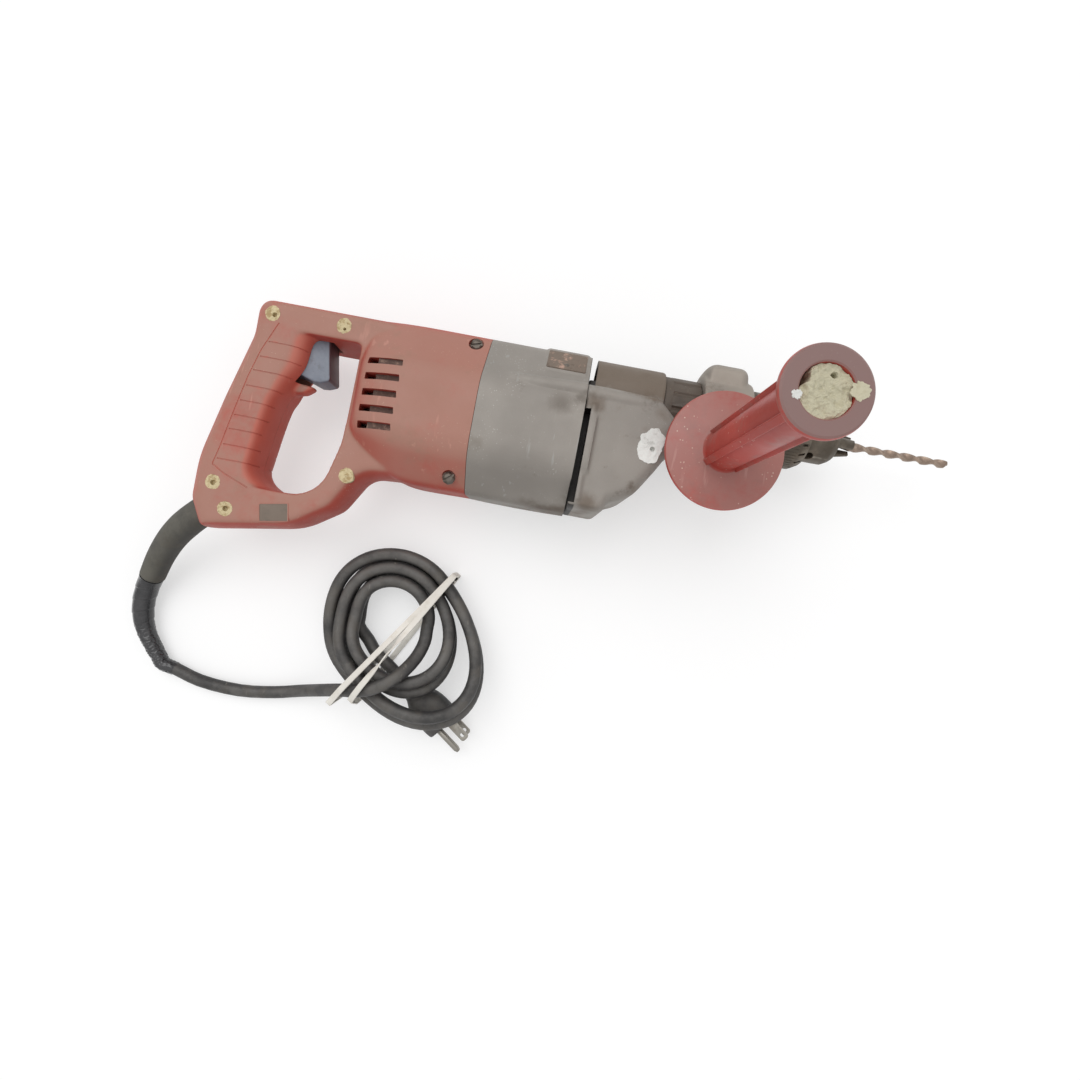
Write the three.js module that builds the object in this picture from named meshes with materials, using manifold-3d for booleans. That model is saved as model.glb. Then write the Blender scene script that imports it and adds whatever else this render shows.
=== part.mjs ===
// A corded hammer drill with a D-handle, lying on its left side.
// Millimetres. +X runs along the spindle towards the bit, +Y towards the tool's top,
// +Z up from the surface it lies on, which is the tool's right side.
// The origin is on the flat left face of the motor casting, below the motor axis, at mid length.

import * as THREE from 'three';
import { mergeVertices } from 'three/addons/utils/BufferGeometryUtils.js';
import Module from 'manifold-3d';

const wasm = await Module();
wasm.setup();

// Driving sizes of the body
const bodyWidth = 84; // across the motor casting, flat face to flat face
const motorBottom = 43.5; // motor axis down to the underside
const topRise = 60.5; // motor axis up to the top
const spindleRise = 38; // spindle axis above the motor axis
const castingLength = 66;
const handleLength = 180.3; // joint plane back to the rear of the grip
const handleHeight = 157.5; // top of the tool down to the lowest corner
const handleThickness = 40;
const gearcaseLength = 49.7; // joint plane forward to the barrel's front face

// Fits
const seatGap = 0.3; // between pieces that touch
const runGap = 0.35; // between pieces that turn on each other
const overrun = 2; // how far a cutter reaches past the face it cuts

// Housing shell
const motorBore = 38.3; // radius of the space round the field
const ventChamber = 23; // half width of the space behind the vents
const ventLength = 22;
const ventWidth = 3.6;
const ventPitch = 10.3;
const ventCount = 5;
const ventCentreRise = 9.3; // middle slot above the motor axis
const ventFrontSetback = 53.5; // joint plane back to the front ends of the slots
const edgeRound = 5; // rounding of the handle's edges
const gripDepth = 16; // half depth of the rounded grip
const finLength = 17; // finger stop, from the grip's centre line forward
const finWidth = 11;
const finRise = 9.5; // finger stop above the motor axis
const screwRecess = 9.6; // diameter
const screwRecessDepth = 6;
const screwHead = 8.4; // diameter
const screwHeadHeight = 3;
const screwShank = 4; // diameter
const screwReach = 30; // under the head

// Switch, trigger and lock button
const switchLength = 14;
const switchHeight = 36;
const switchThickness = 24;
const switchSetback = 146; // joint plane back to the centre of the switch
const switchRise = 21;
const triggerThickness = 19;
const triggerHeight = 29; // pivot down to the tip
const triggerDepth = 28; // from its face back into the grip
const triggerFaceSetback = 103; // joint plane back to the foot of its face
const triggerPinSetback = 117; // joint plane back to the pivot
const triggerPinRise = 43;
const triggerPin = 4; // diameter
const triggerPinLength = 34;
const lockButton = 9; // diameter
const lockButtonLength = 8;
const lockButtonProud = 3; // stands out of the grip's left side
const lockButtonSetback = 141;
const lockButtonRise = 27;

// Motor casting
const padLength = 27.4;
const padSetback = 2; // casting's front face back to the pad
const padWidth = 54;
const padHeight = 15;
const castingWall = 5;

// Gearcase
const barrelRadius = 25;
const gearboxWidth = 76;
const shoulderRise = 36.5; // top of the gearbox body over the motor axis
const lugDepth = 41; // bottom lug under the motor axis
const gearboxReach = 64.8; // joint plane forward to the belly's foremost point
const slotWidth = 4.3; // cooling outlet between casting and gearcase
const slotDepth = 24;
const slotTop = 21;
const slotBottom = 38;
const notchWidth = 4.5;
const notchDepth = 18;
const chamberWall = 4;
const gearcaseRound = 3.5; // rounding of the gearbox body's edges
const frontWall = 5;

// Gears: armature pinion drives the idler gear, idler pinion drives the spindle gear
const fastModule = 0.75;
const slowModule = 1;
const armatureTeeth = 8;
const idlerGearTeeth = 40;
const idlerPinionTeeth = 12;
const spindleTeeth = 38;
const idlerGearWidth = 7.6;
const spindleGearWidth = 9;
const floatTravel = 1.5; // spindle's axial play, which is the hammer stroke
const shaftRadius = 8; // spindle
const rearJournal = 6.4; // spindle's rear end, radius
const idlerShaft = 4; // radius
const armatureShaft = 5; // radius

// Bearing plate behind the gears
const plateSetIn = 5.3; // from the joint plane
const plateThickness = 7.4;
const armatureBearing = 12; // outer radius
const rearBearing = 11; // outer radius

// Hammer ratchets
const ratchetOuter = 20.7;
const ratchetTeeth = 9;
const ratchetToothHeight = 1.2;
const ratchetThickness = 2.6;
const ratchetRest = 1.8; // gap between the tooth tips at rest
const springWire = 1.5;
const springTurns = 3;

// Motor
const fieldLength = 52;
const fieldRadius = 38;
const airGap = 0.6;
const armatureRadius = 24;
const armatureSlots = 10;
const fieldFront = 26; // joint plane forward to the field's front end
const windingOverhang = 7;
const commutatorRadius = 13;
const commutatorLength = 15;
const commutatorBars = 10;
const brushWidth = 6;
const brushDepth = 9;
const brushLength = 13;
const holderWall = 2.5;
const fanRadius = 34;
const fanWidth = 9;
const fanBlades = 9;
const fanSetIn = 9; // fan's front face behind the casting's front
const endGap = 3; // along the shaft, between the turning parts
const rearBearingWidth = 9;
const bearingWall = 4;
const rearBoreRadius = 33; // housing bore behind the field

// Nose, mode ring and side-handle clamp
const neckRadius = 16.9;
const modeRingRadius = 22.9;
const modeRingWidth = 23.4;
const modeGrips = 14;
const collarRadius = 20.2;
const collarLength = 33;
const spindleBearing = 15.8; // outer radius
const bearingWidth = 12;
const clampWidth = 32.8;
const clampRadius = 27.5;
const clampLug = 35.4; // spindle axis up to the lug's top
const clampLugWidth = 40;
const clampSplit = 3;
const clampBossRadius = 11.5;
const clampBossTop = 31; // above the tool's middle plane
const clampFoot = 26; // below the tool's middle plane

// Side handle
const gripOffset = 29; // its axis from the spindle axis
const gripSetback = 2.6; // its axis behind the clamp's middle
const flangeRadius = 36.4;
const flangeTop = 46; // face of the flange above the middle plane
const flangeThickness = 4.5;
const flangeEase = 1.2; // rounding of both flanges' rims
const sideGripLength = 124; // flange face to the end
const sideGripBase = 12.5; // barrel radius
const endFlangeRadius = 19.4;
const endFlangeThickness = 5;
const ribRadius = 14.6;
const ribWidth = 7;
const endHollow = 11.3; // radius
const endHollowDepth = 12;
const fillerSetIn = 1;
const hubRadius = 13;
const studRadius = 4.5;
const studHeadRadius = 8;
const studHeadHeight = 6;
const studReach = 24; // inside the grip, past the flange face

// Chuck and bit
const chuckRear = 142.6; // from the casting's middle to the chuck's rear face
const chuckFlangeRadius = 23.7;
const chuckFlangeWidth = 7;
const chuckCore = 19.6; // radius under the sleeve
const chuckNose = 15.5; // radius
const noseTip = 13.5; // radius
const chuckLength = 62;
const sleeveRadius = 22.4;
const sleeveBore = 20.3; // radius
const sleeveLength = 33.6;
const sleeveFrontBore = 16.8; // radius
const sleeveTeeth = 20;
const toothDepth = 1.6;
const nutWidth = 5.2;
const spindleThread = 7.9; // radius
const threadLength = 17;
const keyHole = 3.2; // radius
const chuckCapacity = 12.7;
const jawTipReach = 12.4; // jaws' tips past the chuck's nose
const jawRadius = 3.8;
const jawLength = 44;
const jawTilt = 13; // degrees
const jawAxisAtTip = 3; // jaw's own axis from the spindle axis, at its tip
const bitDiameter = 6.35;
const bitLength = 101.6;
const bitReach = 68; // past the jaws
const bitPitch = 23.5; // of the flutes
const bitTipAngle = 118; // degrees

// Cord and what is on it
const cordDiameter = 9;
const guardStart = 9.8; // radius
const guardEnd = 8.4; // radius
const guardCollar = 12.4; // radius
const tapeStart = 8.1; // radius
const tapeEnd = 5.9; // radius
const turnPitch = 10;
const layerRise = 10.6;
const innerTurn = 26.5; // radius of the innermost centre line
const plugThickness = 20;
const plugWidth = 27;
const plugLength = 42;
const bladeLength = 17.5;
const bladeWidth = 6.3;
const bladeThickness = 1.5;
const bladeHole = 1.6; // radius
const bladeSpacing = 12.7;
const pinLength = 21;
const pinRadius = 2.4;
const pinSpacing = 11.9; // pin to the blades' line
const bandWidth = 5;
const bandThickness = 1;

// Places worked out from the sizes
const middle = bodyWidth / 2;
const jointPlane = -castingLength / 2;
const castingFront = castingLength / 2;
const handleTop = topRise;
const plateRear = castingFront + plateSetIn;
const plateFront = plateRear + plateThickness;
const barrelFront = castingFront + gearcaseLength + seatGap;
const chamberFront = barrelFront - frontWall;
const fastCentre = ((armatureTeeth + idlerGearTeeth) * fastModule) / 2;
const slowCentre = ((idlerPinionTeeth + spindleTeeth) * slowModule) / 2;
const idlerRise =
  (fastCentre ** 2 - slowCentre ** 2 + spindleRise ** 2) / (2 * spindleRise);
const idlerDrop = Math.sqrt(fastCentre ** 2 - idlerRise ** 2);
const collarRear = barrelFront + modeRingWidth + 2 * seatGap;
const collarFront = collarRear + collarLength;
const clampMiddle = collarRear + seatGap + clampWidth / 2;
const gripX = clampMiddle - gripSetback;
const gripY = spindleRise - gripOffset;
const jawTipX = chuckRear + chuckLength + jawTipReach;
const fieldFrontX = jointPlane + fieldFront;
const fieldRearX = fieldFrontX - fieldLength;
const commutatorFront = fieldRearX - windingOverhang - endGap;
const commutatorRear = commutatorFront - commutatorLength;
const rearBearingFront = commutatorRear - endGap;
const rearBearingBack = rearBearingFront - rearBearingWidth;
const cordRadius = cordDiameter / 2;

// Materials
function surface(colour, roughness, metalness) {
  return new THREE.MeshStandardMaterial({ color: colour, roughness, metalness });
}
const redPlastic = surface('#b5756b', 0.6, 0);
const handleRed = surface('#b05852', 0.5, 0);
const castGrey = surface('#8c8780', 0.55, 0.6);
const grimyCasting = surface('#6e6255', 0.7, 0.5);
const darkSteel = surface('#4b463f', 0.5, 0.8);
const brightSteel = surface('#9c9890', 0.35, 0.9);
const bitSteel = surface('#786c62', 0.4, 0.8);
const greyPlastic = surface('#7d828c', 0.5, 0);
const blackPlastic = surface('#2b2a29', 0.6, 0);
const cordRubber = surface('#4b4946', 0.75, 0);
const guardRubber = surface('#5a5855', 0.8, 0);
const tapeBlack = surface('#2d2d30', 0.3, 0);
const plasterCream = surface('#c8c3aa', 0.9, 0);
const copper = surface('#a8643c', 0.4, 0.9);
const carbon = surface('#1f1f21', 0.8, 0.1);
const bandWhite = surface('#e4e0d6', 0.6, 0);

// Solids: a closed geometry becomes one that can be joined and cut
function solidOf(geometry) {
  const bare = new THREE.BufferGeometry();
  const flat = geometry.index ? geometry.toNonIndexed() : geometry;
  bare.setAttribute('position', flat.getAttribute('position').clone());
  const merged = mergeVertices(bare, 1e-3);
  const corners = merged.index.array;
  const kept = [];
  for (let i = 0; i < corners.length; i += 3) {
    const [a, b, c] = [corners[i], corners[i + 1], corners[i + 2]];
    if (a !== b && b !== c && c !== a) kept.push(a, b, c);
  }
  const made = (turned) =>
    new wasm.Manifold(
      new wasm.Mesh({
        numProp: 3,
        vertProperties: merged.getAttribute('position').array,
        triVerts: new Uint32Array(turned ? [...kept].reverse() : kept),
      }),
    );
  const solid = made(false);
  return solid.volume() < 0 ? made(true) : solid;
}

function geometryOf(solid) {
  const mesh = solid.getMesh();
  const geometry = new THREE.BufferGeometry();
  const places = new THREE.BufferAttribute(mesh.vertProperties, mesh.numProp);
  geometry.setAttribute('position', places);
  geometry.setIndex(new THREE.BufferAttribute(mesh.triVerts, 1));
  const faceted = geometry.toNonIndexed();
  faceted.computeVertexNormals();
  return faceted;
}

function join(...solids) {
  return solids.reduce((whole, next) => whole.add(next));
}

function cut(solid, ...cutters) {
  return cutters.reduce((left, cutter) => left.subtract(cutter), solid);
}

function moved(solid, x, y, z) {
  return solid.translate([x, y, z]);
}

// An outline whose corners [x, y, radius] are rounded by arcs of the same number of steps
function roundedOutline(corners, steps = 4) {
  const points = [];
  corners.forEach(([x, y, radius], i) => {
    const [px, py] = corners.at(i - 1);
    const [nx, ny] = corners[(i + 1) % corners.length];
    const here = new THREE.Vector2(x, y);
    const back = new THREE.Vector2(px - x, py - y);
    const ahead = new THREE.Vector2(nx - x, ny - y);
    const room = Math.min(back.length(), ahead.length()) / 2;
    back.normalize();
    ahead.normalize();
    const half = Math.acos(THREE.MathUtils.clamp(back.dot(ahead), -1, 1)) / 2;
    const trim = Math.min(radius / Math.tan(half), room * 0.98);
    if (trim <= 0) {
      points.push(here);
      return;
    }
    const arc = trim * Math.tan(half);
    const inward = back.clone().add(ahead).normalize();
    const centre = here.clone().addScaledVector(inward, arc / Math.sin(half));
    const from = here.clone().addScaledVector(back, trim).sub(centre);
    const sweep = Math.PI - 2 * half;
    const side = Math.sign(back.cross(ahead));
    for (let s = 0; s <= steps; s++) {
      const turned = from.clone().rotateAround(new THREE.Vector2(), (-side * sweep * s) / steps);
      points.push(turned.add(centre));
    }
  });
  return points;
}

// An outline in the XY plane raised along Z, with edges rounded inside the outline
function prism(outline, low, high, { round = 0, roundSteps = 2, hole = null } = {}) {
  const shape = new THREE.Shape(outline);
  if (hole) shape.holes.push(new THREE.Path(hole));
  const geometry = new THREE.ExtrudeGeometry(shape, {
    depth: high - low - 2 * round,
    bevelEnabled: round > 0,
    bevelSize: round,
    bevelOffset: -round,
    bevelThickness: round,
    bevelSegments: roundSteps,
    steps: 1,
    curveSegments: 1,
  });
  return moved(solidOf(geometry), 0, 0, low + round);
}

// An outline drawn in [y, z] and run along X
function bar(outline, rear, front) {
  const geometry = new THREE.ExtrudeGeometry(new THREE.Shape(outline), {
    depth: front - rear,
    bevelEnabled: false,
    steps: 1,
  });
  const turn = new THREE.Matrix4().set(0, 0, 1, rear, 1, 0, 0, 0, 0, 1, 0, 0, 0, 0, 0, 1);
  return solidOf(geometry.applyMatrix4(turn));
}

function boxOf(x0, x1, y0, y1, z0, z1) {
  const geometry = new THREE.BoxGeometry(x1 - x0, y1 - y0, z1 - z0);
  return moved(solidOf(geometry), (x0 + x1) / 2, (y0 + y1) / 2, (z0 + z1) / 2);
}

// A closed profile of [radius, distance along the axis], turned about a line along X or Z
function turnedAlongX(profile, y, z, sides = 20) {
  const points = profile.map(([r, along]) => new THREE.Vector2(r, along));
  const geometry = new THREE.LatheGeometry([...points, points[0]], sides);
  const turn = new THREE.Matrix4().set(0, 1, 0, 0, 0, 0, 1, y, 1, 0, 0, z, 0, 0, 0, 1);
  return solidOf(geometry.applyMatrix4(turn));
}

function turnedAlongZ(profile, x, y, sides = 20) {
  const points = profile.map(([r, along]) => new THREE.Vector2(r, along));
  const geometry = new THREE.LatheGeometry([...points, points[0]], sides);
  return moved(solidOf(geometry.rotateX(Math.PI / 2)), x, y, 0);
}

function rodX(radius, rear, front, y, z, sides = 16) {
  return turnedAlongX([[0, rear], [radius, rear], [radius, front], [0, front]], y, z, sides);
}

function rodZ(radius, low, high, x, y, sides = 16) {
  return turnedAlongZ([[0, low], [radius, low], [radius, high], [0, high]], x, y, sides);
}

function tubeX(outer, inner, rear, front, y, z, sides = 16) {
  const profile = [[inner, rear], [outer, rear], [outer, front], [inner, front]];
  return turnedAlongX(profile, y, z, sides);
}

// Rings of equally many points, closed by a face at each end
function loft(rings) {
  const places = [];
  const count = rings[0].length;
  const wall = (a, b, c) => places.push(...a.toArray(), ...b.toArray(), ...c.toArray());
  for (let i = 0; i + 1 < rings.length; i++) {
    for (let k = 0; k < count; k++) {
      const next = (k + 1) % count;
      wall(rings[i][k], rings[i][next], rings[i + 1][next]);
      wall(rings[i][k], rings[i + 1][next], rings[i + 1][k]);
    }
  }
  const middleOf = (ring) =>
    ring.reduce((sum, p) => sum.add(p), new THREE.Vector3()).divideScalar(count);
  const [first, last] = [rings[0], rings.at(-1)];
  const [firstMiddle, lastMiddle] = [middleOf(first), middleOf(last)];
  for (let k = 0; k < count; k++) {
    const next = (k + 1) % count;
    wall(firstMiddle, first[next], first[k]);
    wall(lastMiddle, last[k], last[next]);
  }
  const geometry = new THREE.BufferGeometry();
  geometry.setAttribute('position', new THREE.Float32BufferAttribute(places, 3));
  return geometry;
}

// A tube through points, with its own radius at each
function taperedTube(points, radii, sides, steps) {
  const curve = new THREE.CatmullRomCurve3(points, false, 'centripetal');
  const frames = curve.computeFrenetFrames(steps, false);
  const rings = [];
  for (let i = 0; i <= steps; i++) {
    const centre = curve.getPointAt(i / steps);
    const at = (i / steps) * (radii.length - 1);
    const low = Math.min(Math.floor(at), radii.length - 2);
    const radius = THREE.MathUtils.lerp(radii[low], radii[low + 1], at - low);
    const ring = [];
    for (let k = 0; k < sides; k++) {
      const angle = (2 * Math.PI * k) / sides;
      ring.push(
        centre
          .clone()
          .addScaledVector(frames.normals[i], radius * Math.cos(angle))
          .addScaledVector(frames.binormals[i], radius * Math.sin(angle)),
      );
    }
    rings.push(ring);
  }
  return loft(rings);
}

// A cord's free stretch: a round section along its route
function cordTube(points, radius, sides, stepsPerDiameter) {
  const curve = new THREE.CatmullRomCurve3(points, false, 'centripetal');
  const section = new THREE.Shape();
  for (let k = 0; k < sides; k++) {
    const angle = (2 * Math.PI * k) / sides;
    const [x, y] = [radius * Math.cos(angle), radius * Math.sin(angle)];
    if (k === 0) section.moveTo(x, y);
    else section.lineTo(x, y);
  }
  section.closePath();
  const steps = Math.ceil((curve.getLength() * stepsPerDiameter) / (2 * radius));
  return new THREE.ExtrudeGeometry(section, { steps, extrudePath: curve, bevelEnabled: false });
}

// A spur gear's outline, with a tooth centred on the angle given
function gearOutline(teeth, module, toothAngle) {
  const pitch = (teeth * module) / 2;
  const tip = pitch + gearShares.tip * module;
  const root = pitch - gearShares.root * module;
  const step = (2 * Math.PI) / teeth;
  const points = [];
  for (let k = 0; k < teeth; k++) {
    const centre = toothAngle + k * step;
    const { rootWidth, pitchWidth, tipWidth } = gearShares;
    const pinionCorners = [
      [root, -rootWidth],
      [pitch, -pitchWidth],
      [tip, -tipWidth],
      [tip, tipWidth],
      [pitch, pitchWidth],
      [root, rootWidth],
    ];
    const wheelCorners = [
      [pitch - gearShares.notch * module, -0.5],
      [tip, -tipWidth],
      [tip, tipWidth],
    ];
    const corners = teeth < wheelTeeth ? pinionCorners : wheelCorners;
    for (const [radius, share] of corners) {
      const angle = centre + share * step;
      points.push(new THREE.Vector2(radius * Math.cos(angle), radius * Math.sin(angle)));
    }
  }
  return points;
}
const wheelTeeth = 20; // from this many teeth on, the gaps between them are plain notches
const gearShares = {
  tip: 0.8,
  root: 1.15,
  notch: 2,
  rootWidth: 0.29,
  pitchWidth: 0.22,
  tipWidth: 0.12,
};

function gear(teeth, module, toothAngle, rear, front, y, z) {
  return moved(bar(gearOutline(teeth, module, toothAngle), rear, front), 0, y, z);
}

// The body's cross-section: flat sides, a deep rounded belly and a narrower top
const sectionShares = [
  [0.43, 1, 0, 0.29],
  [1, 0.45, 0, 0.6],
  [1, 0, 0.42, 0.7],
  [0.62, 0, 1, 0.22],
];

function bodySection(x, halfWidth, below, above, inset = 0) {
  const half = sectionShares.map(([across, down, up, rounding]) => [
    up * (above - inset) - down * (below - inset),
    across * (halfWidth - inset),
    rounding * halfWidth,
  ]);
  const other = [...half].reverse().map(([y, z, r]) => [y, -z, r]);
  return roundedOutline([...half, ...other], 2).map((p) => new THREE.Vector3(x, p.x, middle + p.y));
}

// Rear housing: rings from the joint plane back to the hand opening
// [share of handleLength, half width, below, above as shares of the full section]
const coverShares = [
  [0, 1, 1, 1],
  [0.22, 1, 1, 1],
  [0.29, 0.93, 0.9, 1],
  [0.335, 0.76, 0.8, 1],
  [0.42, 0.68, 0.66, 1],
  [0.448, 0.52, 0.64, 1],
];

function cover() {
  const rings = coverShares.map(([back, across, below, above]) =>
    bodySection(
      jointPlane - seatGap - back * handleLength,
      across * middle,
      below * motorBottom,
      above * topRise,
    ),
  );
  return solidOf(loft(rings));
}

const handleOutlineShares = [
  [0.15, 0, 0],
  [0.88, 0, 0.07],
  [0.879, 0.149, 0.159],
  [0.946, 0.435, 0.571],
  [1, 0.702, 0.571],
  [1, 0.873, 0.076],
  [0.946, 1, 0.038],
  [0.599, 0.93, 0.286],
  [0.46, 0.822, 0.127],
  [0.377, 0.66, 0.102],
  [0.15, 0.641, 0],
];
const handOpeningShares = [
  [0.461, 0.147, 0.019],
  [0.469, 0.543, 0.444],
  [0.524, 0.792, 0.152],
  [0.841, 0.792, 0.025],
  [0.75, 0.147, 0.025],
];

function onHandle([back, down, rounding]) {
  return [jointPlane - back * handleLength, handleTop - down * handleHeight, rounding * handleHeight];
}

// Grip: oval sections [down, inner face back] as shares of the handle's height and length
const gripShares = [
  [0.82, 0.645],
  [0.793, 0.682],
  [0.777, 0.71],
  [0.752, 0.738],
  [0.714, 0.755],
  [0.67, 0.75],
  [0.42, 0.712],
  [0.17, 0.676],
  [0.148, 0.655],
  [0.12, 0.625],
];
const gripLineShares = [0.793, 0.728]; // grip's centre line at the top and at mid height
const gripSides = 12;

function gripBar() {
  const half = handleThickness / 2;
  const rings = gripShares.map(([down, inner]) => {
    const y = handleTop - down * handleHeight;
    const front = jointPlane - inner * handleLength;
    const centre = gripCentre(y);
    const ring = [];
    for (let k = 0; k < gripSides; k++) {
      const angle = (2 * Math.PI * k) / gripSides;
      const reach = Math.cos(angle) > 0 ? front - centre : gripDepth;
      ring.push(new THREE.Vector3(centre + reach * Math.cos(angle), y, middle + half * Math.sin(angle)));
    }
    return ring;
  });
  return solidOf(loft(rings));
}

function gripCentre(y) {
  const down = (handleTop - y) / handleHeight;
  const [low, high] = gripLineShares;
  return jointPlane - handleLength * THREE.MathUtils.lerp(high, low, (down - 0.148) / 0.566);
}

function fingerStop() {
  const centre = gripCentre(finRise);
  const outline = roundedOutline(
    [
      [centre, finRise - finWidth, 0],
      [centre + finLength, finRise - finWidth, edgeRound],
      [centre + finLength + finWidth / 2, finRise, edgeRound / 5],
      [centre + finLength, finRise + finWidth / 4, edgeRound],
      [centre, finRise + finWidth / 2, 0],
    ],
    2,
  );
  return prism(outline, middle - finWidth / 2, middle + finWidth / 2);
}

// Housing screws: places as shares of the handle's length back and height down
const screwPlaceShares = {
  rear_top: [0.795, 0.076],
  front_top: [0.535, 0.072],
  rear_lower: [0.897, 0.803],
  foot: [0.837, 0.903],
  front_lower: [0.429, 0.677],
  joint_top: [0.052, 0.054],
  joint_bottom: [0.058, 0.615],
};
// Face of the housing at each screw, as a share of its half width there
const screwFaceShares = { joint_top: 0.62, joint_bottom: 0.76 };
const shortScrewShare = 0.28; // the lower joint screw stops above the field

function screwFace(name) {
  const deep = screwFaceShares[name];
  return deep ? middle + deep * middle : middle + handleThickness / 2;
}

function screwLength(name) {
  return name === 'joint_bottom' ? screwReach * shortScrewShare : screwReach;
}

function screwPlace(name) {
  const [back, down] = screwPlaceShares[name];
  return [jointPlane - back * handleLength, handleTop - down * handleHeight];
}

function housingScrew(name) {
  const [x, y] = screwPlace(name);
  const seat = screwFace(name) - screwRecessDepth;
  const [head, shank] = [screwHead / 2, screwShank / 2];
  const profile = [
    [0, seat - screwLength(name)],
    [shank, seat - screwLength(name) + shank],
    [shank, seat + seatGap],
    [head, seat + seatGap],
    [head, seat + screwHeadHeight * 0.6],
    [head * 0.6, seat + screwHeadHeight],
    [0, seat + screwHeadHeight],
  ];
  return turnedAlongZ(profile, x, y, 8);
}

function screwHole(name) {
  const [x, y] = screwPlace(name);
  const seat = screwFace(name) - screwRecessDepth;
  const shank = screwShank / 2 + seatGap;
  const profile = [
    [0, seat - screwLength(name) - seatGap],
    [shank, seat - screwLength(name) - seatGap],
    [shank, seat],
    [screwRecess / 2, seat],
    [screwRecess / 2, middle + bodyWidth],
    [0, middle + bodyWidth],
  ];
  return turnedAlongZ(profile, x, y, 8);
}

// Spaces inside the rear housing
function ventSlots() {
  const front = jointPlane - ventFrontSetback;
  const slots = [];
  for (let k = 0; k < ventCount; k++) {
    const y = ventCentreRise + (k - (ventCount - 1) / 2) * ventPitch;
    const half = ventWidth / 2;
    slots.push(boxOf(front - ventLength, front, y - half, y + half, -overrun, bodyWidth + overrun));
  }
  return slots;
}

function motorSpace() {
  const chamberFrontX = jointPlane - ventFrontSetback + ventWidth / 2;
  const chamberRear = chamberFrontX - ventLength - ventWidth;
  const halfHigh = (ventCount / 2) * ventPitch;
  const bearingRing = rearBearing + bearingWall;
  const field = rodX(motorBore + seatGap, fieldRearX - endGap, castingFront, 0, middle, 24);
  const rear = rodX(rearBoreRadius, chamberFrontX - seatGap, fieldRearX, 0, middle, 24);
  const [low, high] = [ventCentreRise - halfHigh, ventCentreRise + halfHigh];
  const [left, right] = [middle - ventChamber, middle + ventChamber];
  const chamber = boxOf(chamberRear, chamberFrontX, low, high, left, right);
  const ring = rodX(bearingRing, rearBearingBack - bearingWall, rearBearingFront, 0, middle, 20);
  const webRear = rearBearingBack + bearingWall / 2;
  const web = boxOf(webRear, webRear + bearingWall, low, bearingRing, -overrun, bodyWidth + overrun);
  const seat = rodX(rearBearing + seatGap, rearBearingBack - seatGap, commutatorRear, 0, middle, 20);
  return [field, rear, cut(chamber, ring, web), seat];
}

const switchPlace = {
  x: jointPlane - switchSetback,
  y: switchRise,
};

function handleSpaces() {
  const { x, y } = switchPlace;
  const half = [switchLength, switchHeight, switchThickness].map((size) => size / 2 + seatGap);
  const pocket = boxOf(x - half[0], x + half[0], y - half[1], y + half[1], middle - half[2], middle + half[2]);
  const slotHalf = triggerThickness / 2 + runGap;
  const pinX = jointPlane - triggerPinSetback;
  const slot = boxOf(
    x + switchLength / 2,
    pinX + triggerPin * 3,
    triggerPinRise - triggerHeight - triggerPin,
    triggerPinRise + triggerPin * 1.5,
    middle - slotHalf,
    middle + slotHalf,
  );
  const pin = rodZ(
    triggerPin / 2 + seatGap,
    middle - triggerPinLength / 2 - seatGap,
    middle + triggerPinLength / 2 + seatGap,
    pinX,
    triggerPinRise,
    12,
  );
  const button = rodZ(
    lockButton / 2 + runGap,
    -overrun,
    middle - switchThickness / 2,
    jointPlane - lockButtonSetback,
    lockButtonRise,
    14,
  );
  return [pocket, slot, pin, button, ...guardSpace()];
}
function housing() {
  const slab = prism(
    roundedOutline(handleOutlineShares.map(onHandle), 2),
    middle - handleThickness / 2,
    middle + handleThickness / 2,
    { round: edgeRound, roundSteps: 1, hole: roundedOutline(handOpeningShares.map(onHandle), 2).reverse() },
  );
  const outer = join(slab, cover(), gripBar(), fingerStop());
  const bores = Object.keys(screwPlaceShares).map(screwHole);
  return cut(outer, ...motorSpace(), ...ventSlots(), ...handleSpaces(), ...bores);
}

// Field: a laminated ring with two poles, and a winding round each pole
function sector(inner, outer, from, to, steps) {
  const points = [];
  for (let s = 0; s <= steps; s++) {
    const angle = THREE.MathUtils.lerp(from, to, s / steps);
    points.push(new THREE.Vector2(outer * Math.cos(angle), outer * Math.sin(angle)));
  }
  for (let s = steps; s >= 0; s--) {
    const angle = THREE.MathUtils.lerp(from, to, s / steps);
    points.push(new THREE.Vector2(inner * Math.cos(angle), inner * Math.sin(angle)));
  }
  return points;
}
const poleHalfAngle = 0.95; // radians
const yokeShare = 0.84; // inner radius of the ring

function fieldStack() {
  const [rear, front] = [fieldRearX, fieldFrontX];
  const ring = tubeX(fieldRadius, fieldRadius * yokeShare, rear, front, 0, middle, 24);
  const bore = armatureRadius + airGap;
  const poles = [0, Math.PI].map((at) =>
    moved(
      bar(sector(bore, fieldRadius - airGap, at - poleHalfAngle, at + poleHalfAngle, 6), rear, front),
      0,
      0,
      middle,
    ),
  );
  return join(ring, ...poles);
}

function fieldWinding(side) {
  const gap = seatGap / armatureRadius;
  const quarter = Math.PI / 2;
  const [rear, front] = [fieldRearX - windingOverhang, fieldFrontX + windingOverhang];
  const inner = armatureRadius + airGap + seatGap;
  const outer = fieldRadius * yokeShare - seatGap;
  const halves = [1, -1].map((turn) => {
    const from = turn > 0 ? poleHalfAngle + 2 * gap : -(quarter - gap);
    const to = turn > 0 ? quarter - gap : -(poleHalfAngle + 2 * gap);
    return bar(sector(inner, outer, from, to, 3), rear, front);
  });
  const ends = [
    [rear, fieldRearX - seatGap],
    [fieldFrontX + seatGap, front],
  ].map(([from, to]) => bar(sector(inner, outer, -(quarter - gap), quarter - gap, 6), from, to));
  const winding = join(...halves, ...ends);
  return moved(side > 0 ? winding : winding.rotate([180, 0, 0]), 0, 0, middle);
}

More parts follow.
